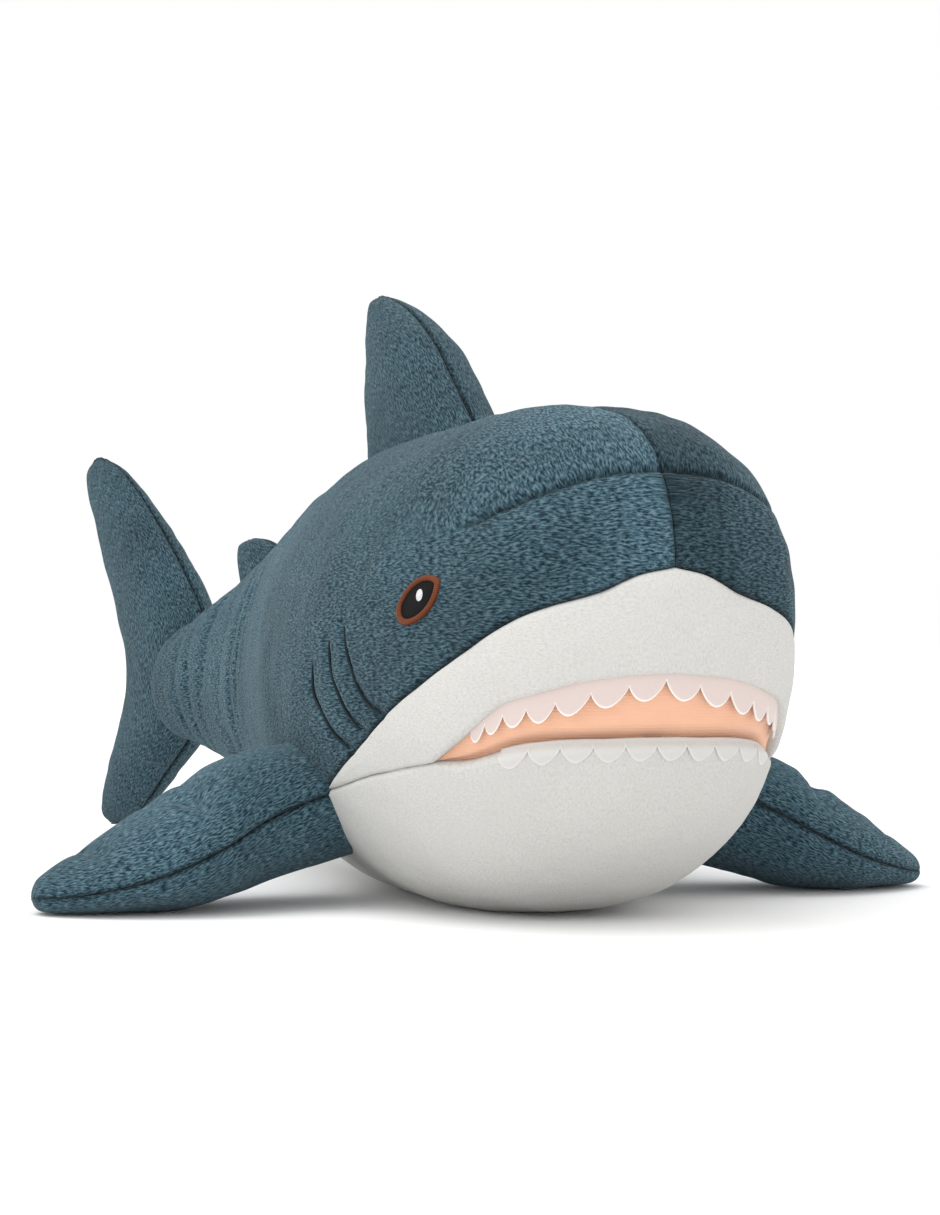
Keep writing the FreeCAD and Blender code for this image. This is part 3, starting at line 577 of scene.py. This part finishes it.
def nap(points, back, angle):
    """Maps for the pile: it runs away from the nose, beside lines of equal height on the sides and of equal x
    on the crown and belly, and crown says which of the two holds. On the face they meet at the dart seam."""
    dart = through(DART[1:, 0], DART[1:, 1], back)
    dart = np.where(back < DART[1, 0], 0.0, dart - smoothstep(50, 110, back) * 10)
    spread = 2 + 16 * smoothstep(40, 100, back)
    away = np.minimum(np.abs(angle), 360 - np.abs(angle))
    crown = 1 - smoothstep(dart - spread, dart + spread, away)
    under = smoothstep(125, 150, away)
    nose = STATIONS[0, 2] * HEIGHT
    return {
        "nap_side": np.stack([points[..., 2], np.hypot(points[..., 0], back)], -1),
        "nap_top": np.stack([points[..., 0], np.hypot(points[..., 2] - nose, back)], -1),
        "crown": np.maximum(crown, under),
    }


def seam_line(table, sign=1, count=60):
    """Points of the body along a seam, smooth in the root of the distance."""
    t = np.linspace(0, 1, count)
    marks = np.linspace(0, 1, len(table))
    back = through(marks, table[:, 0], t, tight=False)
    return body(back, sign * through(marks, table[:, 1], t, tight=False))


def lip_line(edge, sign):
    """Points of the body along half of a lip, from its middle to a corner of the mouth."""
    x = np.linspace(0, CORNER, 160) * sign
    return from_chart(x, edge(x))


CROWN_SEAM = body(np.linspace(0, math.sqrt(LENGTH + END_CAP), 160) ** 2, 0)


def border_line(sign, first=0.0):
    """Points of the body along one side's colour border, from a distance behind the nose to the tail."""
    back = np.linspace(math.sqrt(first), math.sqrt(LENGTH + END_CAP - 0.5), 220) ** 2
    return body(back, sign * border_angle(back))


def wrinkles(back, angle):
    """Folds round the tail stalk, deepest on the inner side of the bend: soft valleys at a slant, each deep
    in some places and shallow in others, that fade towards the trunk, the tail fin and the underside."""
    turned = np.radians(angle)
    inner = 0.3 + 0.7 * (0.5 - 0.5 * np.sin(turned)) ** 1.3
    envelope = smoothstep(*WRINKLES_START, back) * (1 - smoothstep(*WRINKLES_END, back))
    slant = (8 * np.sin(turned * 1.4 + 0.6) + 7.0 * np.sin(back / 17.0)
             + 3.0 * np.sin(turned * 3.1 + back / 31.0))
    wave = np.abs(np.sin(math.pi * (back + slant) / WRINKLE_PITCH))
    local = 0.35 + 0.65 * smoothstep(-0.5, 0.9, np.sin(back / 11.0 + turned * 2.3))
    under = 0.4 + 0.6 * smoothstep(-1.0, -0.2, np.cos(turned))
    return WRINKLE * envelope * inner * under * local * (1 - wave) ** 1.6


def place_on_trunk(made, nodes):
    """A piece that keeps its place on the trunk."""
    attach(made, "trunk")
    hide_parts(*nodes)


def gill_grooves(points, sign):
    """Depth of one side's gill grooves."""
    return sum(groove(distance(points, seam_line(gill, sign, 24)), *GILL_GROOVE) for gill in GILLS)


def back_panel(name, sign, nodes):
    """Teal side of the back: from the crown seam round to the colour border, from nose to tail fin."""
    back, share = np.meshgrid(rows_to_tail(0, 90, 95, 255, 14), eased(128), indexing="ij")
    angle = sign * share * border_angle(back)
    points = body(back, angle)
    normals = outward(points, CHEST)
    crown_gap = distance(points, CROWN_SEAM)
    border_gap = distance(points, border_line(sign))
    depth = np.maximum(turned_in(crown_gap, SEAM_ROUND * 0.7, 0.5, 6.0),
                       turned_in(border_gap, SEAM_ROUND, 0.9))
    dart_gap = distance(points, seam_line(DART, sign))
    dart_end = 1 - smoothstep(*DART_FADE, back)
    depth += groove(dart_gap, *DART_GROOVE) * dart_end
    depth += gill_grooves(points, sign) + wrinkles(back, angle)
    depth -= lumps(points, BLUE_LUMPS, 3)
    fields = nap(points, back, angle)
    # Painted light and shade: near the crown seam on the forehead one panel is darker and the other lighter,
    # and both flanks are lighter from the trunk's rear to the tail stalk.
    forehead_painted_shading = np.exp(-(crown_gap / PAINTED_SHADING_REACH) ** 2) * (1 - smoothstep(90, 190, back))
    flank_painted_light = smoothstep(200, 260, back) * (1 - smoothstep(405, 435, back))
    fields["painted_shading"] = 0.5 * flank_painted_light - sign * forehead_painted_shading * smoothstep(0, 1.5, crown_gap)
    # Painted shade beside the crown seam, the colour border and the dart.
    fields["seam"] = np.maximum.reduce([0.8 * seam_shade(crown_gap), seam_shade(border_gap),
                                        seam_shade(dart_gap) * dart_end])
    made = body_cloth(name, points, normals, depth, BLUE, fields, (0, 0, 0.08))
    across_tail(made, nodes)


def body_cloth(name, points, normals, depth, material, fields, behind):
    """Stuffed cloth of the body at a depth below its points, with its seam allowance."""
    points, fields = tucked(points - normals * depth[..., None], normals, fields)
    made = cloth(surface(name, laid(points), material, fields, behind=behind))
    return made


def bend_between(pieces, bodies, start, end):
    """Fabric and filling that run from one body to the next: each piece's placing is baked into its mesh. The
    two places of the straight body are worked out and not used, and bodies is not used.
    """
    start, end = laid(np.array([start, end], float))
    for made in pieces:
        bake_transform(made)
        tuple(start)
        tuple(end)


TAIL_BODIES = ("trunk", "tail_stalk")
TAIL_BEND = ((0, 262, 60), (0, 342, 60))


def across_tail(made, nodes):
    """A piece that runs from the trunk to the tail stalk: its placing is baked into its mesh, and the model's
    parts that it stands for are hidden.
    """
    bend_between([made], TAIL_BODIES, *TAIL_BEND)
    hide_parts(*nodes)


def white_cloth(name, points, normals, back, angle, seams, folds, seed, behind):
    """White cloth of the body, turned in at the seams of both sides, each (line, radius, pull), folded and a
    little uneven. Its seams cast no shade."""
    depth = np.zeros(back.shape)
    for sign in (1, -1):
        for line, radius, pull in seams(sign):
            depth = np.maximum(depth, turned_in(distance(points, line), radius, pull))
    depth += gill_grooves(points, 1) + gill_grooves(points, -1) + folds
    depth -= lumps(points, WHITE_LUMPS, seed)
    fields = nap(points, back, angle)
    fields["seam"] = np.zeros(back.shape)
    return body_cloth(name, points, normals, depth, WHITE, fields, behind)


def muzzle():
    """White face: between the colour border and the upper lip, then back to the corner of the jaw seam."""
    x, share = np.meshgrid(np.linspace(-CHEEK, CHEEK, 420), eased(64), indexing="ij")
    high, low = muzzle_top(x), upper_edge(x)
    up = high + (low - high) * share
    points = from_chart(x, up)
    back = x**2 + up**2
    angle = np.degrees(np.arctan2(x, up))
    normals = outward(points, HEAD)

    def seams(sign):
        return [(border_line(sign)[:120], SEAM_ROUND, 0.7), (seam_line(JAW, sign), SEAM_ROUND, 0.8),
                (lip_line(upper_edge, sign), LIP_ROUND, 0.3)]

    made = white_cloth("plush_muzzle", points, normals, back, angle, seams, 0, 5, (0, -0.18, 0.085))
    place_on_trunk(made, ["muzzle_panel"])


def belly():
    """White underside: from the lower lip to the tail, between the two borders."""
    rows = rows_to_tail(EDGE_BACK[0], 110, 110, 230, 14)
    back, share = np.meshgrid(rows, eased(132), indexing="ij")
    angle = 180 + (1 - 2 * share) * (180 - belly_angle(back))
    points = body(back, angle)
    normals = outward(points, CHEST)
    signed = np.where(angle > 180, angle - 360, angle)

    def seams(sign):
        return [(border_line(sign, JAW[-1, 0]), SEAM_ROUND, 0.8), (seam_line(JAW, sign), SEAM_ROUND, 0.8),
                (lip_line(lower_edge, sign), LIP_ROUND, 0.3)]

    made = white_cloth("plush_belly", points, normals, back, angle, seams, wrinkles(back, signed), 7,
                       (0, 0, 0.09))
    across_tail(made, ["belly_panel", "tail_belly_panel"])


# ---- mouth ----

def below_lip(edge, x, fall):
    """Points of the body a length in millimetres below a lip, at places x of the chart."""
    up = edge(x)
    step = 0.02
    grade = np.linalg.norm(from_chart(x, up - step) - from_chart(x, up), axis=-1) / step
    return from_chart(x, up - fall / grade)


def lip_walk(edge):
    """Places of the chart and the length walked to them along a lip, from the middle."""
    x = np.linspace(0, CORNER, 700)
    return x, walked_along(from_chart(x, edge(x)))


def mouth():
    """Peach lining: a shallow pocket behind the teeth, that starts and ends behind the two lips."""
    x, share = np.meshgrid(np.linspace(-CORNER, CORNER, 240) * PAST_CORNER, np.linspace(-0.22, 1.16, 60),
                           indexing="ij")
    high, low = UPPER(x), LOWER(x)
    up = high + (low - high) * share
    points = from_chart(x, up)
    normals = outward(points, HEAD)
    ends = np.sqrt(np.clip(1 - (np.abs(x) / (CORNER * PAST_CORNER)) ** 6, 0, 1))
    depth = MOUTH_ENDS + (MOUTH_DEPTH - MOUTH_ENDS) * ends + 1.6 * smoothstep(0.72, 1.0, share) * ends
    depth -= 0.35 * ripple(points, 16.0, 9) * ends
    points = points - normals * depth[..., None]
    made = surface("lining_mouth", laid(points), PEACH, behind=(0, -0.18, 0.085))
    place_on_trunk(cloth(made, LINING), ["mouth_lining"])


def felt_band(name, edge, walk, reach, start, lift, material, nodes):
    """A felt strip along a lip. Its section is a flat rounded loop, from start above the lip to reach below
    it, and lift is how far its middle stands off the body."""
    places, walked = lip_walk(edge)
    far = np.linspace(-walk, walk, 760)
    x = np.sign(far) * np.interp(np.abs(far), walked, places)
    ring = ring_of(36)
    share = 0.5 - 0.5 * power(np.cos(ring), 0.5)
    offset = FELT / 2 * power(np.sin(ring), 0.45)
    long = start + reach(far)[:, None]
    fall = share[None, :] * long - start
    points = below_lip(edge, np.broadcast_to(x[:, None], fall.shape), fall)
    beside = np.array([-2.0, 0, 2, 4, 6])
    strip = below_lip(edge, *np.broadcast_arrays(x[:, None], beside[None, :]))
    normals = outward(strip, HEAD)[:, 2:3]
    rim = (1 - share[None, :]) * long
    away = lift(fall) + offset[None, :] * np.clip(long / 1.5, 0, 1)
    points = points + normals * away[..., None]
    made = surface(name, laid(points), material, {"rim": rim}, round_ring=True)
    place_on_trunk(made, nodes)


def teeth():
    """Upper teeth hang behind the upper lip, and lower teeth are folded over the lower jaw."""
    def upper_reach(far):
        place = np.interp(np.abs(far), NOTCHES, np.arange(len(NOTCHES)))
        tooth = TOOTH_LENGTH * np.abs(np.sin(math.pi * place)) ** 0.75 * (1 - 0.04 * place)
        return np.interp(np.abs(far), NOTCHES, GUMS) + tooth

    def lower_reach(far):
        return 0.3 + LOWER_TOOTH * np.abs(np.sin(math.pi * far / LOWER_PITCH)) ** 0.9

    def behind_lip(fall):
        return -LIP_ROUND - 0.55 + 0.10 * np.clip(fall, 0, None)

    def over_lip(fall):
        fold = turned_in(np.clip(fall + 0.2, 0, None), LIP_ROUND, 0.3)
        return -fold - 1.2 * np.clip(-fall, 0, 2) + 0.1

    felt_band("felt_upper_teeth", UPPER, NOTCHES[-1], upper_reach, 1.2, behind_lip, FELT_UPPER,
              ["upper_teeth"])
    felt_band("felt_lower_teeth", LOWER, 5 * LOWER_PITCH, lower_reach, 1.0, over_lip, FELT_LOWER,
              ["lower_teeth"])


# ---- embroidery ----

def almond(turn, length, height):
    """Outline of an eye at angles round it: pointed towards the nose and blunter behind."""
    sharp = 1.15 + 0.25 * np.cos(turn)
    return -length / 2 * np.cos(turn), height / 2 * power(np.sin(turn), sharp)


def turned(along, up, degrees):
    """A flat place turned by an angle."""
    angle = math.radians(degrees)
    return along * math.cos(angle) - up * math.sin(angle), along * math.sin(angle) + up * math.cos(angle)


def on_face(along, up, off, left):
    """Places of the eye, turned by its tilt and carried on the side of the body, and lifted off it."""
    along, up = turned(along, up, EYE_TILT)
    back, height = EYE_BACK + along, EYE_RISE + up
    step = 0.5
    here = side(back, height, left)
    slope_back = (side(back + step, height, left) - here) / step
    slope_up = (side(back, height + step, left) - here) / step
    return here + unit(np.cross(slope_back, slope_up)) * left * off[..., None]


def eye(name, left):
    """Three pads of satin stitch: the rim is a ring with a rounded section, and the pupil and the glint are
    low cushions. Stitches run across each."""
    def stitched(part, along, up, off, stitch, material):
        points = laid(on_face(along, up, off + 0 * along, left))
        fields = {"stitch": np.stack(stitch, -1)}
        made = surface(f"{name}_{part}_stitching", points, material, fields, round_ring=True)
        place_on_trunk(made, [f"{name}_{part}"])

    turn, ring = ring_of(180)[:, None], ring_of(24)[None, :]
    inner_length, inner_height = EYE_LENGTH - 2.6 * EYE_RIM, EYE_HEIGHT - 2 * EYE_RIM

    share = 0.5 + 0.5 * np.cos(ring)
    outer, inner = almond(turn, EYE_LENGTH, EYE_HEIGHT), almond(turn, inner_length, inner_height)
    along, up = (a * share + b * (1 - share) for a, b in zip(outer, inner))
    walked = np.arctan2(up, -along) * EYE_LENGTH * 0.42
    stitched("rim", along, up, 0.1 + 1.0 * np.sin(ring), (walked, share * EYE_RIM + 0 * along), BROWN)

    fall = np.linspace(0, math.pi, 30)[:, None]
    turn = turn.T
    along, up = (reach * np.sin(fall) for reach in almond(turn, inner_length + 0.6, inner_height + 0.5))
    stitched("pupil", along, up, 0.1 + 0.8 * power(np.cos(fall), 0.8), (along + 0.3 * up, up), BLACK)

    along, up = turned(GLINT_WIDTH / 2 * np.cos(turn) * np.sin(fall),
                       GLINT_HEIGHT / 2 * np.sin(turn) * np.sin(fall), -EYE_TILT)
    along, up = along - GLINT_AHEAD, up + GLINT_UP
    stitched("glint", along, up, 0.75 + 0.55 * np.cos(fall), (up, along), GLINT)


def tube(line, normals, radius):
    """A round thread along a line of points, drawn out to a point at each end: the radius is scaled by the
    fourth root of one less the sixth power of the place along it."""
    along = unit(np.gradient(line, axis=0))
    beside = unit(np.cross(along, normals))
    place = np.linspace(-1, 1, len(line))
    size = radius * np.clip(1 - place**6, 0, 1) ** 0.25
    ring = ring_of(THREAD_SIDES)
    cosine, sine = np.cos(ring)[None, :, None], np.sin(ring)[None, :, None]
    return line[:, None] + size[:, None, None] * (cosine * beside[:, None] + sine * normals[:, None])


def gills(name, sign, node):
    """Three bows of dark thread, each lying in the groove that it pulls into the cloth."""
    grids, fields = [], []
    for gill in GILLS:
        strip = np.stack([seam_line(gill + (0, shift), sign, 50) for shift in (-1, 0, 1)], 1)
        normals = outward(strip, (0, 120, 80))[:, 1]
        line = strip[:, 1] - normals * 1.7
        grids.append(laid(tube(line, normals, GILL_THREAD)))
        walked = walked_along(line)[:, None]
        fields.append(np.stack(np.broadcast_arrays(walked, np.linspace(0, 3, THREAD_SIDES)[None, :]), -1))
    fields = {"stitch": np.concatenate(fields)}
    place_on_trunk(surface(name, grids, BLUE_THREAD, fields, round_ring=True), [node])


# ---- fins ----

def fin_side(front, back, thick, direction, tips, rows, columns):
    """One side of a fin between its two edges, the fin's middle, and its bulk along it. The rows go from root
    to tip, or from tip to tip, spaced so that a tip is round, and the columns from the front edge to the back
    edge on half an ellipse."""
    front, back = np.asarray(front, float), np.asarray(back, float)
    walked = walked_along(front) + walked_along(back)
    share = walked / walked[-1]
    places = 1 - np.sqrt(1 - share) if tips == 1 else np.arccos(1 - 2 * share) / math.pi
    at = np.linspace(0, 1, rows)
    edge_a, edge_b = (np.stack([through(places, edge[:, k], at, tight=False) for k in range(3)], -1)
                      for edge in (front, back))
    height = through(places, thick, at)
    turn = np.linspace(0, math.pi, columns)
    share = (0.5 - 0.5 * np.cos(turn))[None, :, None]
    middle = edge_a[:, None] * (1 - share) + edge_b[:, None] * share
    points = middle + height[:, None, None] * np.sin(turn)[None, :, None] * np.asarray(direction, float)
    return points, middle, np.minimum(height, np.linalg.norm(edge_b - edge_a, axis=-1) / 2)


def fin_panel(name, side, way, behind, seed, painted_shading=0.0, creases=()):
    """Finishes one side of a fin: its edges turn in at the seam, less so where the fin is thin, its face is a
    little uneven, creased along lines, and its pile runs from root to tip. The cloth stays on its own side of
    the fin's middle, at least a share of the way out to where it was."""
    points, middle, bulk = side
    normals = outward(points, behind)
    way = np.asarray(way, float)
    room = smoothstep(0, FULL_BULK, bulk)[:, None]
    front, back = points[:, 0], points[:, -1]
    gap = np.minimum(distance(points, front[::2]), distance(points, back[::2]))
    depth = turned_in(gap, SEAM_ROUND, 0.8, 4.0)
    for crease in creases:
        line = np.array([(start, along, 0) for start, along in crease], float)
        beside = distance(np.stack([np.abs(points[..., 0]), points[..., 1], 0 * gap], -1), line)
        depth += CREASE * np.exp(-(beside / CREASE_WIDTH) ** 2)
    depth -= lumps(points, FIN_LUMPS, seed) * np.clip(gap / 6, 0, 1)
    walked = np.cumsum(np.linalg.norm(np.diff(points, axis=0, prepend=points[:1]), axis=-1).mean(1))
    across = np.cumsum(np.linalg.norm(np.diff(points, axis=1, prepend=points[:, :1]), axis=-1), 1)
    flat = np.stack([across, np.broadcast_to(walked[:, None], across.shape)], -1)
    # The seam field paints shade beside the fin's edges.
    fields = {"nap_side": flat, "nap_top": flat, "crown": np.zeros(across.shape), "seam": seam_shade(gap),
              # The last field paints the whole panel lighter or darker: painted light and shade.
              "painted_shading": np.full(across.shape, painted_shading)}
    moved = points - normals * (depth * room)[..., None]
    before, after = (points - middle) @ way, (moved - middle) @ way
    moved = moved + (np.maximum(after, LEAST_OUT * before) - after)[..., None] * way
    moved, fields = tucked(moved, normals, fields, ALLOWANCE * room[..., None])
    made = surface(name, laid(moved), BLUE, fields, behind=laid(np.asarray(behind, float)))
    return cloth(made)


def filling_piece(name, points, nodes):
    """Loose filling as one closed form inside its panels."""
    made = surface(name, laid(points), FILLING, {"rim": np.ones(points.shape[:2])}, round_ring=True)
    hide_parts(*nodes)
    return made


def fin_filling(name, left, right, node):
    """A closed form from a fin's two sides, drawn in towards the middle of each row and then of the whole."""
    loop = np.concatenate([left[0][::3, ::3], right[0][::3, ::3][:, ::-1][:, 1:-1]], 1)
    middle = loop.mean(1, keepdims=True)
    inset = middle + (loop - middle) * FILLED_ACROSS
    heart = inset.mean((0, 1))
    inset = heart + (inset - heart) * FILLED_ALONG
    poles = inset[[0, -1]].mean(1, keepdims=True).repeat(inset.shape[1], 1)
    return filling_piece(name, np.concatenate([poles[:1], inset, poles[1:]]), [node])


DORSAL = [
    # front edge (back, height), rear edge (back, height), half thickness
    ((158, 153), (273, 153), 20.5), ((175, 168), (274.5, 168), 20.5), ((190, 180), (275, 181), 20),
    ((205, 192), (276, 193), 18.5), ((220, 204), (278, 206), 16), ((236, 214), (280.5, 215), 13),
    ((251, 221.5), (282.5, 222), 10), ((265, 226.5), (283.5, 227), 6.5), ((279, 230), (280, 230.3), 0),
]
SECOND_DORSAL = [
    ((360, 116), (402, 104), 8), ((367, 124), (406, 113), 8), ((373, 129.5), (409, 121), 7.8),
    ((380, 133.5), (410.5, 128.5), 7), ((388, 136), (410, 133.5), 5.4), ((398, 137), (401, 137), 0),
]
TAIL_FIN = [
    ((534, 4), (536, 4), 0), ((508, 11.5), (543, 11), 7.5), ((483, 29), (531, 30), 13.5),
    ((452, 53), (517, 54), 16), ((443, 74), (509.5, 72), 16.5), ((443, 100), (518, 98), 16.5),
    ((462, 123), (531, 122), 15.5), ((484, 143), (544, 143), 13), ((505, 159.5), (555, 160), 10),
    ((527, 173.5), (561, 173), 6.5), ((549, 181), (553, 181), 0),
]
PECTORAL = [
    # x, front edge (back, height), rear edge (back, height), rise above and drop below the seam
    (54, (128, 43), (193, 40), 19, 24), (72, (128, 39.5), (193, 37), 19, 26),
    (90, (126, 33), (191.5, 32), 22, 25), (107, (121, 24), (189, 24), 24.5, 22),
    (127, (122.5, 15), (184, 15), 21.5, 15), (147, (131, 9), (177, 9), 14.5, 9),
    (160, (141, 6.5), (170, 6.5), 8.5, 6.5), (165, (147, 6.2), (164, 6.2), 5.4, 4.8),
    (167, (153, 6), (157, 6), 0, 0),
]
FILLED_ACROSS, FILLED_ALONG = 0.72, 0.93       # share of a fin's section and length that its filling takes
# Creases on top of a pectoral fin, as lines from (x, back) to (x, back).
CREASES = [((113, 168), (116, 138)), ((127, 162), (114, 130)), ((150, 162), (147, 143))]


def sewn_fin(name, edges, halves, bodies, bend, tips=1, rows=110, columns=90, painted_shading=0.0):
    """A fin of two panels, sewn along its edges and filled. Each half has its word, its thickness along the
    edges, its way out, the seed of its unevenness, and its creases."""
    middle = np.mean(np.concatenate(edges), 0)
    pieces, sides = [], []
    for word, thick, way, seed, creases in halves:
        sides.append(fin_side(*edges, thick, way, tips, rows, columns))
        made = fin_panel(f"plush_{name}_{word}", sides[-1], way, middle, seed, painted_shading, creases)
        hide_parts(f"{name}_{word}_panel")
        pieces.append(made)
    pieces.append(fin_filling(f"filling_{name}", *sides, f"{name}_stuffing"))
    bend_between(pieces, bodies, *bend)


def standing_fin(name, table, bodies, *bend, **grid):
    """An upright fin with a left and a right panel."""
    edges = [[(0, *row[k]) for row in table] for k in (0, 1)]
    thick = [row[2] for row in table]
    halves = [(word, thick, (sign, 0, 0), 20 + len(name) + sign, ())
              for word, sign in (("left", 1), ("right", -1))]
    sewn_fin(name, edges, halves, bodies, bend, **grid)


def pectoral(word, sign):
    """A pectoral fin: an upper and a lower panel that meet in a seam along its edge. It droops to the
    floor."""
    edges = [[(sign * row[0], *row[k]) for row in PECTORAL] for k in (1, 2)]
    halves = [("upper", [row[3] for row in PECTORAL], (0, 0, 1), 43, CREASES),
              ("lower", [row[4] for row in PECTORAL], (0, 0, -1), 44, ())]
    # Both panels are painted lighter: painted light.
    sewn_fin(f"pectoral_{word}", edges, halves, ("trunk", f"pectoral_fin_{word}"),
             ((sign * 70, 160, 34), (sign * 104, 160, 34)), painted_shading=0.8)


def body_filling():
    """Filling of trunk and tail stalk: the body drawn in, and deeper behind the mouth."""
    rows = rows_to_tail(0, 120, 40, 70, 8)
    back, angle = np.meshgrid(rows, np.linspace(0, 360, 72, endpoint=False), indexing="ij")
    points = body(back, angle)
    half, top, bottom, level, _ = section(back)
    inset = 6 + 9 * (1 - smoothstep(50, 110, back)) * smoothstep(80, 110, np.minimum(angle, 360 - angle))
    shrink = np.clip(1 - inset / np.maximum(np.minimum(half, (top - bottom) / 2), 1e-6), 0.02, 1)
    x = points[..., 0] * shrink
    z = level + (points[..., 2] - level) * shrink
    ahead = np.clip(8 + back * 0.985, 8, LENGTH + 8)
    return filling_piece("filling_body", np.stack([x, ahead, z], -1), ["trunk_stuffing", "tail_stuffing"])


# ---- the toy ----

back_panel("plush_back_left", 1, ["back_left_panel", "tail_left_panel"])
back_panel("plush_back_right", -1, ["back_right_panel", "tail_right_panel"])
muzzle()
belly()
mouth()
teeth()
for word, sign in (("left", 1), ("right", -1)):
    eye(f"eye_{word}", sign)
    gills(f"thread_gills_{word}", sign, f"gill_stitching_{word}")
    pectoral(word, sign)
standing_fin("dorsal", DORSAL, ("trunk", "dorsal_fin"), (0, 225, 168), (0, 225, 192))
standing_fin("second_dorsal", SECOND_DORSAL, ("tail_stalk", "second_dorsal_fin"), (0, 385, 124),
             (0, 389, 133), rows=60, columns=50)
standing_fin("tail_fin", TAIL_FIN, ("tail_stalk", "tail_fin"), (0, 446, 80), (0, 478, 80), tips=2, rows=150)
bend_between([body_filling()], TAIL_BODIES, *TAIL_BEND)

# ---- floor, light and camera ----


def paper():
    """Matt white backdrop paper: no sheen and hardly any grain."""
    made, add = new_material("matt_backdrop_paper")
    place = add("ShaderNodeTexCoord").outputs["Object"]
    grain = add("ShaderNodeTexNoise", {"Vector": place, "Scale": 40.0, "Detail": 3.0})
    tone = add("ShaderNodeMix", {0: grain, MIX_A: colour("f4f4f4"), MIX_B: colour("f7f7f7")},
               data_type="RGBA")
    shader = add("ShaderNodeBsdfDiffuse", {"Color": tone.outputs[MIX_RESULT], "Roughness": 0.5})
    add("ShaderNodeOutputMaterial", {"Surface": shader})
    return made


def floor():
    """A round floor, level as far as the eye can see."""
    far, turn = np.meshgrid(np.array([0, 0.5, 2, 8, 40.0]), ring_of(64), indexing="ij")
    points = np.stack([far * np.cos(turn), far * np.sin(turn), 0 * far], -1)
    made = surface("floor", points, paper(), round_ring=True, behind=(0, 0, -1))


def aimed(data, place, way):
    """Puts a light or a camera at a place in metres, looking along a direction."""
    made = bpy.data.objects.new(data.name, data)
    made.location = place
    made.rotation_euler = Vector(way).to_track_quat("-Z", "Y").to_euler()
    bpy.context.scene.collection.objects.link(made)
    return made


floor()
# A square soft box in front, and a broad even light from above that whitens the floor as far as it goes.
BOX_PLACE, BOX_AIM = Vector((-1.5, -1.3, 0.9)), Vector((0, -0.1, 0.08))
box = bpy.data.lights.new("front_box", "AREA")
box.shape, box.size, box.energy = "SQUARE", 1.0, 5
aimed(box, BOX_PLACE, BOX_AIM - BOX_PLACE)
ceiling = bpy.data.lights.new("ceiling_light", "SUN")
ceiling.energy, ceiling.angle = 1.2, math.radians(45.0)
aimed(ceiling, (0, 0, 0), (0.4, 0.1, -1.0))

world = bpy.data.worlds.new("studio")
world.use_nodes = True
background = world.node_tree.nodes["Background"]
background.inputs["Color"].default_value = (1, 1, 1, 1)
background.inputs["Strength"].default_value = 1.0
bpy.context.scene.world = world
bpy.context.scene.view_settings.view_transform = "Standard"

CAMERA_PLACE = (-333.0, -744.0, 92.0)  # x, distance behind the nose, height
CAMERA_YAW, CAMERA_PITCH = math.radians(19.7), math.radians(0.71)
lens = bpy.data.cameras.new("camera")
lens.lens, lens.sensor_width = 79.7, 36.0
x, back, height = CAMERA_PLACE
level = math.cos(CAMERA_PITCH)
bpy.context.scene.camera = aimed(
    lens, (x / 1000, (back + BACK_OF_ORIGIN) / 1000, height / 1000),
    (math.sin(CAMERA_YAW) * level, math.cos(CAMERA_YAW) * level, math.sin(CAMERA_PITCH)))
